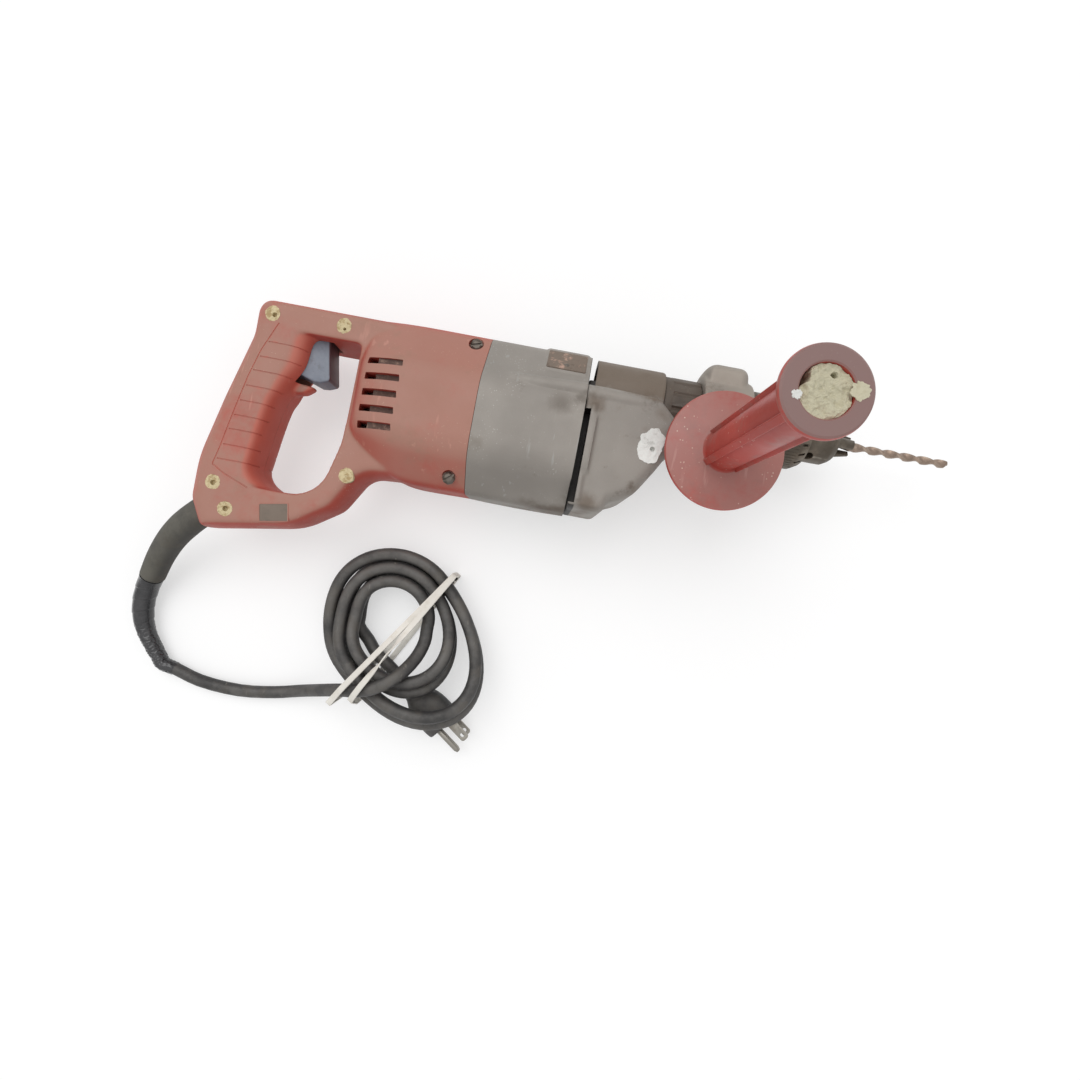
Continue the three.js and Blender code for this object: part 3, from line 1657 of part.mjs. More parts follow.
function discAlong(start, way, radius, width) {
  const disc = new THREE.CylinderGeometry(radius, radius, width, 14);
  disc.applyQuaternion(new THREE.Quaternion().setFromUnitVectors(new THREE.Vector3(0, 1, 0), way));
  const centre = start.clone().addScaledVector(way, width / 2);
  return moved(solidOf(disc), centre.x, centre.y, centre.z);
}

function guardSpace() {
  const [inner, exit] = guardRoute;
  const way = exit.clone().sub(inner).normalize();
  const start = inner.clone().addScaledVector(way, -seatGap);
  return [
    discAlong(start, way, guardStart + 2 * seatGap, 4 * guardStart),
    discAlong(start, way, guardCollar + 2 * seatGap, guardCollarWidth + 2 * seatGap),
  ];
}

// The next stretch starts a gap past the last one's end and runs straight for one diameter
function onwardFrom(route, points, straight) {
  const curve = new THREE.CatmullRomCurve3(route, false, 'centripetal');
  const end = curve.getPoint(1);
  const way = curve.getTangent(1);
  const start = end.clone().addScaledVector(way, seatGap);
  return [start, start.clone().addScaledVector(way, straight), ...points];
}

const tapeRoute = onwardFrom(
  guardRoute,
  [
    [-258.9, -160, 9.4],
    [-257.8, -171, 8.4],
    [-253.9, -181.5, 7.6],
    [-247.8, -191, 7],
    [-241.2, -199.8, 6.4],
  ].map((p) => new THREE.Vector3(...p)),
  tapeStart,
);

function tapeWrap() {
  return solidOf(taperedTube(tapeRoute, [tapeStart, tapeStart * 0.92, tapeEnd * 1.15, tapeEnd], 12, 10));
}

// Coil: two layers of loops, the upper spiralling out and the lower spiralling in again,
// lying over the plug, so each loop rises where it crosses the plug
const coilCentre = [-73, -140]; // of the innermost loop
const coilLean = -40; // degrees, the way in which the outer loops are drawn out
const drawnOut = 0.71; // how much longer the outermost loop is that way, as a share
const sideShift = -1; // of the outer loops, square to the lean
const coilStart = 0; // degrees, where the cord joins the upper layer's inner loop
const flatSide = 182; // degrees, where the loops are pressed in
const flatWidth = 35; // degrees
const flatDepth = 5;
const lateGrowth = 0.2; // turns for which the lowering half turn still moves outward
const upperTurns = 2.3;
const halfTurn = 0.5;
const lowerTurns = 1.75;
const coilFloor = 1.7; // underside of the lowest loop
const plugCentre = [-40, -196];
const plugSpread = 55; // how far from the plug its lift is felt
const liftShare = 1.15; // of the plug's thickness
const loopSteps = 24;
const loopSides = 6;

function liftAt(x, y) {
  const [px, py] = plugCentre;
  const away = ((x - px) ** 2 + (y - py) ** 2) / plugSpread ** 2;
  return liftShare * plugThickness * Math.exp(-away);
}

// Centre line at a number of turns from the coil's start
function coilPoint(turns) {
  const climb = THREE.MathUtils.smoothstep(turns, upperTurns, upperTurns + halfTurn);
  const widest = upperTurns + lateGrowth;
  const outTurns = turns < widest ? turns : 2 * widest - turns;
  const spread = THREE.MathUtils.clamp(outTurns / 2, 0, 1);
  const degrees = coilStart + turns * 360;
  const fromFlat = THREE.MathUtils.euclideanModulo(degrees - flatSide + 180, 360) - 180;
  const pressed = flatDepth * Math.exp(-((fromFlat / flatWidth) ** 2));
  const radius = innerTurn + outTurns * turnPitch - pressed;
  const lean = THREE.MathUtils.degToRad(coilLean);
  const angle = THREE.MathUtils.degToRad(degrees) - lean;
  const reach = radius * Math.cos(angle);
  const along = reach > 0 ? reach * (1 + drawnOut * spread) : reach;
  const across = radius * Math.sin(angle) + sideShift * spread;
  const x = coilCentre[0] + along * Math.cos(lean) - across * Math.sin(lean);
  const y = coilCentre[1] + along * Math.sin(lean) + across * Math.cos(lean);
  const z = coilFloor + cordRadius + (1 - climb) * layerRise + liftAt(x, y);
  return new THREE.Vector3(x, y, z);
}

const plugHeading = -36; // degrees
const heading = THREE.MathUtils.degToRad(plugHeading);
const plugWay = new THREE.Vector3(Math.cos(heading), Math.sin(heading), 0);
const plugSide = new THREE.Vector3(-Math.sin(heading), Math.cos(heading), 0);
const plugRear = new THREE.Vector3(-57.1, -184.1, plugThickness / 2 + seatGap);

// The loops, and the tail that leads on from the last loop to the plug
function coilLine() {
  const turns = upperTurns + halfTurn + lowerTurns;
  const steps = Math.round(turns * loopSteps);
  const loops = [];
  for (let i = 0; i <= steps; i++) loops.push(coilPoint((turns * i) / steps));
  const lead = loops[0].clone().sub(loops[1]).setLength(cordDiameter);
  const tail = new THREE.CatmullRomCurve3(
    [
      loops.at(-2),
      loops.at(-1),
      new THREE.Vector3(-90.5, -158.5, 6.5),
      new THREE.Vector3(-82.5, -167, 8),
      plugRear.clone().addScaledVector(plugWay, -2 * cordDiameter),
      plugRear.clone().addScaledVector(plugWay, -cordDiameter),
      plugRear.clone().addScaledVector(plugWay, -seatGap),
    ],
    false,
    'centripetal',
  );
  const onward = tail.getSpacedPoints(Math.round(loopSteps / 3)).slice(2);
  return [loops[0].clone().add(lead), ...loops, ...onward];
}

function tubeAlong(line, radius, sides) {
  const rings = [];
  let normal = new THREE.Vector3(0, 0, 1);
  line.forEach((centre, i) => {
    const before = line[Math.max(i - 1, 0)];
    const after = line[Math.min(i + 1, line.length - 1)];
    const way = after.clone().sub(before).normalize();
    normal = normal.clone().addScaledVector(way, -normal.dot(way)).normalize();
    const across = way.clone().cross(normal);
    const ring = [];
    for (let k = 0; k < sides; k++) {
      const angle = (2 * Math.PI * (k + 0.5)) / sides;
      ring.push(
        centre
          .clone()
          .addScaledVector(normal, radius * Math.cos(angle))
          .addScaledVector(across, radius * Math.sin(angle)),
      );
    }
    rings.push(ring);
  });
  return loft(rings);
}

// Least gap between two stretches of cord that lie at least half a turn apart
function coilGap() {
  const route = new THREE.CatmullRomCurve3(coil, false, 'centripetal');
  const points = route.getSpacedPoints(1200);
  const apart = Math.round((Math.PI * innerTurn * 1200) / route.getLength());
  let least = Infinity;
  points.forEach((p, i) => {
    for (let k = i + apart; k < points.length; k++) {
      least = Math.min(least, p.distanceTo(points[k]));
    }
  });

  return least - cordDiameter;
}

const coil = coilLine();
const runRoute = [
  ...onwardFrom(
    tapeRoute,
    [
      [-228, -206.5, 5.2],
      [-209.4, -211.8, 4.8],
      [-179, -213.6, 4.8],
      [-152, -209.8, 5.6],
      [-132, -204, 10],
      [-114, -197.5, 22],
      [-97, -191.5, 34],
      [-82, -187.5, 42],
      [-69, -181.5, 46],
      [-57, -172, 44.5],
      [-49, -160, 34],
    ].map((p) => new THREE.Vector3(...p)),
    cordDiameter,
  ),
  ...[cordDiameter, seatGap].map((back) =>
    coil[0].clone().add(coil[0].clone().sub(coil[1]).setLength(back)),
  ),
];

// The plug's own frame: along its length, across, and up
function plugPoint(along, across, up) {
  return plugRear
    .clone()
    .addScaledVector(plugWay, along)
    .addScaledVector(plugSide, across)
    .add(new THREE.Vector3(0, 0, up));
}
const plugRingShares = [
  [0, 0.5, 0.64],
  [0.22, 0.55, 0.7],
  [0.4, 0.84, 0.9],
  [0.6, 1, 1],
  [0.95, 1, 1],
  [1, 0.92, 0.9],
];

function plugBody() {
  const sides = 20;
  const rings = plugRingShares.map(([along, wide, high]) => {
    const ring = [];
    for (let k = 0; k < sides; k++) {
      const angle = (2 * Math.PI * k) / sides;
      const [c, s] = [Math.cos(angle), Math.sin(angle)];
      const squared = (value) => Math.sign(value) * Math.abs(value) ** 0.75;
      const across = squared(c) * wide * (plugWidth / 2);
      const up = squared(s) * high * (plugThickness / 2);
      ring.push(plugPoint(along * plugLength, across, up));
    }
    return ring;
  });
  return solidOf(loft(rings));
}

function prong(outline, across, up, thickness) {
  const solid = prism(outline, -thickness / 2, thickness / 2);
  const place = plugPoint(plugLength + seatGap, across, up);
  return solid.rotate([0, 0, plugHeading]).translate(place.toArray());
}

function plugBlade(up) {
  const half = bladeWidth / 2;
  const outline = roundedOutline(
    [
      [0, -half, 0],
      [bladeLength, -half, half * 0.6],
      [bladeLength, half, half * 0.6],
      [0, half, 0],
    ],
    3,
  );
  const shape = prong(outline, pinSpacing / 2, up, bladeThickness);
  const hole = plugPoint(plugLength + bladeLength - 2 * half * 0.6, pinSpacing / 2, up);
  return cut(shape, rodZ(bladeHole, hole.z - overrun, hole.z + overrun, hole.x, hole.y, 10));
}

function plugPin() {
  const profile = [
    [0, 0],
    [pinRadius, 0],
    [pinRadius, pinLength - pinRadius],
    [pinRadius * 0.6, pinLength],
    [0, pinLength],
  ];
  const place = plugPoint(plugLength + seatGap, -pinSpacing / 2, 0);
  return moved(turnedAlongX(profile, 0, 0, 12).rotate([0, 0, plugHeading]), place.x, place.y, place.z);
}

// Rubber band: two strips from one place on the coil's edge to two on the far side,
// each drawn tight over the highest loops and flat underneath
const bandFrom = [-34.5, -99];
const bandTo = [
  [-101.5, -200.5],
  [-91, -204.5],
];
const bandClear = 1.2;
const bandSteps = 28;
const bandFloor = bandThickness + 0.25; // its inner side under the coil

// Height of the highest cord near a point, upper side
function topHeight(x, y, cords) {
  let height = cordDiameter;
  for (const p of cords) {
    if (Math.hypot(p.x - x, p.y - y) < cordRadius + bandWidth / 2) {
      height = Math.max(height, p.z + cordRadius);
    }
  }
  return height + bandClear;
}

// The upper side of the smallest convex outline round the points, left to right
function upperHull(points) {
  const hull = [];
  for (const p of points) {
    while (hull.length > 1) {
      const [a, b] = hull.slice(-2);
      if ((b.x - a.x) * (p.y - a.y) - (b.y - a.y) * (p.x - a.x) < 0) break;
      hull.pop();
    }
    hull.push(p);
  }
  return hull;
}

function rubberBand([toX, toY]) {
  const from = new THREE.Vector2(...bandFrom);
  const to = new THREE.Vector2(toX, toY);
  const way = to.clone().sub(from);
  const length = way.length();
  way.normalize();
  const cords = [coil, runRoute].flatMap((route) =>
    new THREE.CatmullRomCurve3(route, false, 'centripetal').getSpacedPoints(600),
  );
  const tops = [];
  for (let i = 0; i <= bandSteps; i++) {
    const at = (length * i) / bandSteps;
    const inside = THREE.MathUtils.clamp(at, cordRadius, length - cordRadius);
    const spot = from.clone().addScaledVector(way, inside);
    tops.push(new THREE.Vector2(at, topHeight(spot.x, spot.y, cords)));
  }
  const corners = [
    [0, bandFloor, cordRadius / 2],
    ...upperHull(tops).map((p) => [p.x, p.y, cordRadius / 2]),
    [length, bandFloor, cordRadius / 2],
  ];
  const path = roundedOutline(corners, 1);
  const ring = (outward, aside) =>
    path.map((p, i) => {
      const along = path[(i + 1) % path.length].clone().sub(path.at(i - 1)).normalize();
      const at = p.x - outward * along.y;
      const high = p.y + outward * along.x;
      return new THREE.Vector3(
        from.x + at * way.x - aside * way.y,
        from.y + at * way.y + aside * way.x,
        high,
      );
    });
  const half = bandWidth / 2;
  const out = bandThickness;
  return solidOf(closedSleeve([ring(out, -half), ring(out, half), ring(0, half), ring(0, -half)]));
}

// The whole tool
const drill = new THREE.Group();

function add(name, solid, material) {
  const mesh = new THREE.Mesh(geometryOf(solid), material);
  mesh.name = name;
  drill.add(mesh);
}

const whole = housing();
const far = handleLength * 2;
const clampPlane = boxOf(-far, far, -far, far, middle + seatGap / 2, far);
const lowerPlane = boxOf(-far, far, -far, far, -far, middle - seatGap / 2);
add('housing_right', whole.intersect(clampPlane), redPlastic);
add('housing_left', whole.intersect(lowerPlane), redPlastic);
for (const name of Object.keys(screwPlaceShares)) {
  add('housing_screw_' + name, housingScrew(name), darkSteel);
}
add('trigger', trigger(), greyPlastic);
add('switch_body', switchBody(), blackPlastic);
add('lock_button', lockButtonPiece(), blackPlastic);
add('motor_casting', motorCasting(), castGrey);
add('gearcase', gearcase(), grimyCasting);
add('bearing_plate', bearingPlate(), castGrey);
add('field_stack', fieldStack(), darkSteel);
add('field_winding_upper', fieldWinding(1), copper);
add('field_winding_lower', fieldWinding(-1), copper);
add('armature_shaft', armatureShaftPiece(), brightSteel);
add('armature_core', armatureCore(), darkSteel);
add('armature_winding', armatureWinding(), copper);
add('commutator', commutator(), copper);
add('fan', fan(), blackPlastic);
add(
  'armature_rear_bearing',
  ballBearing(rearBearing, armatureShaft + runGap, rearBearingBack, rearBearingFront, 0),
  brightSteel,
);
add(
  'armature_front_bearing',
  ballBearing(armatureBearing, armatureShaft + runGap, plateRear + seatGap, plateFront - seatGap, 0),
  brightSteel,
);
add('brush_upper', brush(1), carbon);
add('brush_lower', brush(-1), carbon);
add('brush_holder_upper', brushHolder(1), copper);
add('brush_holder_lower', brushHolder(-1), copper);
add('idler_gear', idlerGear(), brightSteel);
add('idler_pinion', idlerPinion(), brightSteel);
add('spindle', spindle(), brightSteel);
add('spindle_gear', spindleGear(), brightSteel);
add('thrust_washer', thrustWasher(), brightSteel);
add('hammer_spring', hammerSpring(), brightSteel);
add(
  'fixed_ratchet',
  ratchet(fixedRatchetRear, fixedRatchetFront, shaftRadius + runGap, ratchetOuter, 1),
  brightSteel,
);
add(
  'moving_ratchet',
  ratchet(movingTeeth + ratchetToothHeight, movingRatchetFront, shaftRadius + seatGap, ratchetOuter * 0.9, -1),
  brightSteel,
);
add('nose_sleeve', noseSleeve(), castGrey);
add(
  'spindle_bearing',
  ballBearing(
    spindleBearing,
    shaftRadius + runGap,
    collarFront - endGap - bearingWidth,
    collarFront - endGap,
    spindleRise,
  ),
  brightSteel,
);
add('mode_ring', modeRing(), darkSteel);
add('clamp_ring', clampRing(), castGrey);
add('clamp_stud', clampStud(), brightSteel);
add('side_handle', sideHandle(), handleRed);
add('handle_filler', fillerPlug(), plasterCream);
add('chuck_body', chuckBody(), darkSteel);
add('chuck_sleeve', chuckSleeve(), darkSteel);
add('chuck_nut', chuckNut(), brightSteel);
for (const index of [0, 1, 2]) add('chuck_jaw_' + (index + 1), chuckJaw(index), brightSteel);
add('twist_bit', twistBit(), bitSteel);
add('cord_guard', cordGuard(), guardRubber);
add('tape_wrap', tapeWrap(), tapeBlack);
add('cord_run', solidOf(cordTube(runRoute, cordRadius, 10, 0.42)), cordRubber);
add('cord_coil', solidOf(tubeAlong(coil, cordRadius, loopSides)), cordRubber);
add('plug_body', plugBody(), blackPlastic);
add('plug_pin', plugPin(), brightSteel);
add('plug_blade_upper', plugBlade(bladeSpacing / 2), brightSteel);
add('plug_blade_lower', plugBlade(-bladeSpacing / 2), brightSteel);
add('rubber_band', join(...bandTo.map(rubberBand)), bandWhite);
console.log('least gap between the coil\'s loops, mm:', coilGap().toFixed(2));

export default drill;
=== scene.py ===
# %% [markdown]
# This lesson dresses a corded hammer drill that lies on its left side, seen from straight above.
# The tool's solids are already made, so each step asks what a piece looks like on the real tool,
# then makes a finer piece in the same place. Shapes are written in millimetres, as on a drawing,
# and turned into metres when the mesh is made. +X runs to the bit, +Y to the tool's top, +Z up.

# %% Load the frame and keep its size
import math

import bmesh
import bpy
from mathutils import Matrix, Vector, noise


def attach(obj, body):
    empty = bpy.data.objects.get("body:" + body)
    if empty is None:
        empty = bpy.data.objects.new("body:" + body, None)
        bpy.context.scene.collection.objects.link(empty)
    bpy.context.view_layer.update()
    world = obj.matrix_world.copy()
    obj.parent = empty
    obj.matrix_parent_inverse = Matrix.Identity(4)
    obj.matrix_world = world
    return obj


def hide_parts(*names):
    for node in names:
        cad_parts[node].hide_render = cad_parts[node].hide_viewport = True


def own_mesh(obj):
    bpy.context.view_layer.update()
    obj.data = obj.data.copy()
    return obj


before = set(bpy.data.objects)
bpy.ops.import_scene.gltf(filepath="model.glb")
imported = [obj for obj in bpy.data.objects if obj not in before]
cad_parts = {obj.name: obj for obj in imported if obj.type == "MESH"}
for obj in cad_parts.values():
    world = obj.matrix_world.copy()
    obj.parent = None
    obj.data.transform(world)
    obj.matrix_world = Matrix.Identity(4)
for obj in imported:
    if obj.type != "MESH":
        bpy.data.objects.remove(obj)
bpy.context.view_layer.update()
mm = 0.001
middle = 42  # height of the tool's middle plane


# %% [markdown]
# The photograph looks straight down from about forty centimetres, which is close, so the side
# handle that stands up towards the lens looks much larger than the rest. A lens placed by its
# real height and focal length gives that for nothing. The tool slopes a little in the picture,
# and turning the camera about its own axis does that without moving the tool.

# %% The camera
camera_place = Vector((20.87, -77.7, 440)) * mm
camera_roll = math.radians(10.6)
picture_side = 1080  # pixels
focal_pixels = 582.7
axis_pixel = (536, 560.6)  # where the lens's axis meets the picture
sensor = 36  # millimetres

camera_data = bpy.data.cameras.new("camera")
camera_data.sensor_width = sensor
camera_data.lens = focal_pixels / picture_side * sensor
camera_data.shift_x = 0.5 - axis_pixel[0] / picture_side
camera_data.shift_y = axis_pixel[1] / picture_side - 0.5
camera_data.clip_start = 0.01
camera = bpy.data.objects.new("camera", camera_data)
camera.location = camera_place
camera.rotation_euler = (0, 0, camera_roll)
bpy.context.scene.collection.objects.link(camera)
bpy.context.scene.camera = camera
bpy.context.scene.view_settings.view_transform = "Standard"
print("lens, mm:", round(camera_data.lens, 2))


# %% [markdown]
# Every later step repeats a few moves: pick only one piece, apply what was added to it, cut it
# with another, and hand it over to the body that it moves with. They are written once here.
# A finished piece keeps its object at the origin and its place in its mesh.


# %% Moves that every piece uses
def only(*pieces):
    """Selects these pieces and nothing else."""
    bpy.ops.object.select_all(action="DESELECT")
    for piece in pieces:
        piece.select_set(True)
    bpy.context.view_layer.objects.active = pieces[0]


def placed(name, data):
    """Puts data into the scene as an object."""
    piece = bpy.data.objects.new(name, data)
    bpy.context.scene.collection.objects.link(piece)
    return piece


def fresh(name):
    """Names the piece that an operator has just made, and puts its place into its mesh."""
    piece = bpy.context.active_object
    piece.name = piece.data.name = name
    only(piece)
    bpy.ops.object.transform_apply(location=True, rotation=True, scale=True)
    return piece


def mended(piece, weld=True, whole=False):
    """Merges doubled points, makes flat faces whole if asked, and turns all faces outwards."""
    only(piece)
    bpy.ops.object.mode_set(mode="EDIT")
    bpy.ops.mesh.select_all(action="SELECT")
    if weld:
        bpy.ops.mesh.remove_doubles(threshold=0.002 * mm)
    if whole:
        bpy.ops.mesh.dissolve_limited(angle_limit=math.radians(1))
    bpy.ops.mesh.normals_make_consistent(inside=False)
    bpy.ops.object.mode_set(mode="OBJECT")
    return piece


def from_curve(piece):
    """Turns a curve into a mesh with whole faces."""
    only(piece)
    bpy.ops.object.convert(target="MESH")
    return mended(fresh(piece.name))


def moved(piece, *steps):
    """Carries a piece's mesh through each matrix in turn."""
    for step in steps:
        piece.data.transform(step)
    return piece


def shift(x, y, z):
    return Matrix.Translation(Vector((x, y, z)) * mm)


def spin(degrees, axis):
    return Matrix.Rotation(math.radians(degrees), 4, axis)


def modified(piece, kind, **settings):
    """Adds a modifier with these settings and applies it at once."""
    modifier = piece.modifiers.new(kind.lower(), kind)
    for key, value in settings.items():
        setattr(modifier, key, value)
    only(piece)
    bpy.ops.object.modifier_apply(modifier=modifier.name)
    return piece


def combined(piece, others, how):
    """Joins others to a piece, or cuts them from it, and takes them away."""
    for other in others:
        modified(piece, "BOOLEAN", operation=how, solver="MANIFOLD", object=other)
        bpy.data.objects.remove(other)
    return piece


def joined(piece, *others):
    return combined(piece, others, "UNION")


def carved(piece, *others):
    return combined(piece, others, "DIFFERENCE")


def softened(piece, grain, passes):
    """Gives a joined shape one even skin and rounds its inner and outer corners."""
    modified(piece, "REMESH", mode="VOXEL", voxel_size=grain * mm)
    return modified(piece, "SMOOTH", factor=0.5, iterations=passes)


def eased(piece, width, angle=30):
    """Rounds the sharp edges of a piece by a small bevel."""
    return modified(
        piece,
        "BEVEL",
        width=width * mm,
        segments=2,
        limit_method="ANGLE",
        angle_limit=math.radians(angle),
        use_clamp_overlap=True,
    )


def settled(piece, body, material, slot, *nodes, angle=35):
    """Gives a finished piece its surface, its body and the solids that it stands for."""
    piece.data.materials.clear()
    piece.data.materials.append(material)
    only(piece)
    bpy.ops.object.shade_smooth_by_angle(angle=math.radians(angle))
    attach(piece, body)
    if nodes:
        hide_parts(*nodes)
    return piece


# %% [markdown]
# A few ways of making a solid cover nearly all of the tool. A turned piece starts as a disc that
# is extruded and resized from station to station, as on a lathe. A flat outline is a filled
# curve with a depth and a rounded edge, or a cushion where each side rounds off by its own
# amount. A lofted piece joins sections of equal count. A rod or a block serves as a cutter.


# %% Turned, flat, lofted and plain solids
def on_axis(axis, centre, at):
    """A point at a distance along X or Z, on an axis through the other two coordinates."""
    if axis == "X":
        return Vector((at, *centre)) * mm
    return Vector((*centre, at)) * mm


def turned(name, axis, centre, profile, sides=96):
    """Turns a profile of (radius, distance) stations, from disc to disc."""
    way = Vector((1, 0, 0)) if axis == "X" else Vector((0, 0, 1))
    tilt = (0, math.pi / 2, 0) if axis == "X" else (0, 0, 0)
    (radius, at), *stations = profile
    bpy.ops.mesh.primitive_circle_add(
        vertices=sides,
        radius=radius * mm,
        fill_type="NGON",
        location=on_axis(axis, centre, at),
        rotation=tilt,
    )
    piece = fresh(name)
    bpy.ops.object.mode_set(mode="EDIT")
    bpy.ops.mesh.select_all(action="SELECT")
    for next_radius, next_at in stations:
        step = way * (next_at - at) * mm
        ratio = next_radius / radius
        bpy.ops.mesh.extrude_region_move(TRANSFORM_OT_translate={"value": step})
        bpy.ops.transform.resize(
            value=(ratio, ratio, ratio), center_override=on_axis(axis, centre, next_at)
        )
        radius, at = next_radius, next_at
    bpy.ops.object.mode_set(mode="OBJECT")
    return mended(piece, weld=False)


def rod(axis, centre, radius, start, end, sides=64):
    return turned("rod", axis, centre, [(radius, start), (radius, end)], sides)


def block(low, high):
    """A plain block between two corners."""
    low, high = Vector(low) * mm, Vector(high) * mm
    bpy.ops.mesh.primitive_cube_add(size=1, location=(low + high) / 2, scale=high - low)
    return fresh("block")


def rounded(corners, steps=8):
    """An outline whose corners (x, y, radius) are replaced by arcs."""
    points = []
    for i, (x, y, radius) in enumerate(corners):
        here = Vector((x, y))
        back = Vector(corners[i - 1][:2]) - here
        ahead = Vector(corners[(i + 1) % len(corners)][:2]) - here
        room = min(back.length, ahead.length) / 2
        back.normalize()
        ahead.normalize()
        half = back.angle(ahead) / 2
        trim = min(radius / math.tan(half), room * 0.98)
        if trim <= 0:
            points.append(here)
            continue
        arc = trim * math.tan(half)
        centre = here + (back + ahead).normalized() * arc / math.sin(half)
        start = here + back * trim - centre
        side = 1 if back.x * ahead.y - back.y * ahead.x > 0 else -1
        for s in range(steps + 1):
            turn = Matrix.Rotation(-side * (math.pi - 2 * half) * s / steps, 2)
            points.append(turn @ start + centre)
    return points


def flat(name, outline, low, high, edge=0):
    """A filled outline in the XY plane, raised from low to high, with rounded edges."""
    data = bpy.data.curves.new(name, "CURVE")
    data.dimensions = "2D"
    data.fill_mode = "BOTH"
    spline = data.splines.new("POLY")
    spline.points.add(len(outline) - 1)
    spline.use_cyclic_u = True
    for point, (x, y) in zip(spline.points, outline):
        point.co = (x * mm, y * mm, 0, 1)
    data.extrude = ((high - low) / 2 - edge) * mm
    data.bevel_depth = edge * mm
    data.offset = -edge * mm
    data.bevel_resolution = 3
    piece = placed(name, data)
    piece.location.z = (low + high) / 2 * mm
    return from_curve(piece)


def loft(name, rings, closed=False):
    """Joins rings of equally many points in millimetres, end to end or with two flat caps."""
    shape = bmesh.new()
    made = [[shape.verts.new(Vector(p) * mm) for p in ring] for ring in rings]
    count = len(made[0])
    following = made[1:] + (made[:1] if closed else [])
    for here, there in zip(made, following):
        for k in range(count):
            n = (k + 1) % count
            shape.faces.new((here[k], here[n], there[n], there[k]))
    if not closed:
        shape.faces.new(made[0][::-1])
        shape.faces.new(made[-1])
    bmesh.ops.recalc_face_normals(shape, faces=shape.faces)
    mesh = bpy.data.meshes.new(name)
    shape.to_mesh(mesh)
    shape.free()
    return placed(name, mesh)


def cushioned(name, corners, insets, low, high, drop):
    """A thick plate whose edges round off over a height, the drop, each side by its inset."""
    points = [Vector(c[:2]) for c in corners]
    count = len(points)
    turn = sum(a.x * b.y - a.y * b.x for a, b in zip(points, points[1:] + points[:1]))
    left = 1 if turn > 0 else -1

    def ring(z):
        over_edge = max(low + drop - z, z - (high - drop), 0) / drop
        part = 1 - math.sqrt(max(0, 1 - over_edge**2))
        made = []
        for i, here in enumerate(points):
            before, after = points[i - 1], points[(i + 1) % count]
            way_in, way_out = (here - before).normalized(), (after - here).normalized()
            a, b = insets[i - 1] * part, insets[i] * part
            side_in, side_out = [Vector((-w.y, w.x)) * left for w in (way_in, way_out)]
            cross = way_in.x * way_out.y - way_in.y * way_out.x
            from_in, from_out = here + side_in * a, here + side_out * b
            reach = (from_out - from_in).cross(way_out) / cross if abs(cross) > 0.02 else 0
            spot = from_in + way_in * reach
            radius = corners[i][2]
            if radius:
                radius = max(0.8, radius - cross * left / abs(cross) * (a + b) / 2)
            made.append((spot.x, spot.y, radius))
        return [(p.x, p.y, z) for p in rounded(made, 6)]

    levels = [drop * (1 - math.cos(math.pi / 2 * i / 7)) for i in range(8)]
    heights = [low + d for d in levels] + [high - d for d in reversed(levels)]
    return loft(name, [ring(z) for z in heights])


def stepped(points, spacing):
    """Points at an even spacing along straight stretches."""
    made = []
    for a, b in zip(points, points[1:]):
        a, b = Vector(a), Vector(b)
        parts = max(1, round((b - a).length / spacing))
        made += [a.lerp(b, s / parts) for s in range(parts)]
    return made + [Vector(points[-1])]


def mirrored(points, up):
    """A line as it is, or with -1 its mirror image in the tool's middle plane."""
    return [Vector((p.x, p.y, middle + up * (p.z - middle))) for p in points]


def tube(name, points, radius, sides=8):
    """A round tube through points in millimetres, closed at its ends."""
    data = bpy.data.curves.new(name, "CURVE")
    data.dimensions = "3D"
    data.bevel_depth = radius * mm
    data.bevel_resolution = sides // 2
    data.use_fill_caps = True
    spline = data.splines.new("POLY")
    spline.points.add(len(points) - 1)
    for point, place in zip(spline.points, points):
        point.co = (*(Vector(place) * mm), 1)
    return placed(name, data)


# %% [markdown]
# The floor is pale and the light is soft and even, so that a colour comes out about as it is
# written. The sky is brighter overhead than at the sides, which gives metal something to show,
# and one wide lamp leans the shadows a little. The floor shows the camera a touch of extra
# white, which lifts the background and leaves the shadow.

# %% Floor, sky and lamp
floor_drop = 0.3  # under the flat side that the tool lies on
bpy.ops.mesh.primitive_plane_add(size=8, location=(0, 0, -floor_drop * mm))
floor = fresh("floor")


def put(tree, kind, inputs=None, **settings):
    """Adds a node; each input takes a value or another node's output."""
    node = tree.nodes.new("ShaderNode" + kind)
    for key, value in settings.items():
        setattr(node, key, value)
    for key, value in (inputs or {}).items():
        if isinstance(value, bpy.types.NodeSocket):
            tree.links.new(value, node.inputs[key])
        else:
            node.inputs[key].default_value = value
    return node


def reckoned(tree, how, *values):
    """Works out one sum on values or outputs."""
    return put(tree, "Math", dict(enumerate(values)), operation=how).outputs[0]


def coordinate(tree, place, axis):
    """One coordinate of a place: 0, 1 or 2 for X, Y or Z."""
    return put(tree, "SeparateXYZ", {0: place}).outputs[axis]


def fresh_tree(owner):
    """The empty node tree of a material or a sky."""
    owner.use_nodes = True
    owner.node_tree.nodes.clear()
    return owner.node_tree


def colour(red, green, blue):
    """A colour as a paint chart gives it, from 0 to 255, in the renderer's own scale."""
    shares = [c / 255 for c in (red, green, blue)]
    return (*[c / 12.92 if c <= 0.04045 else ((c + 0.055) / 1.055) ** 2.4 for c in shares], 1)


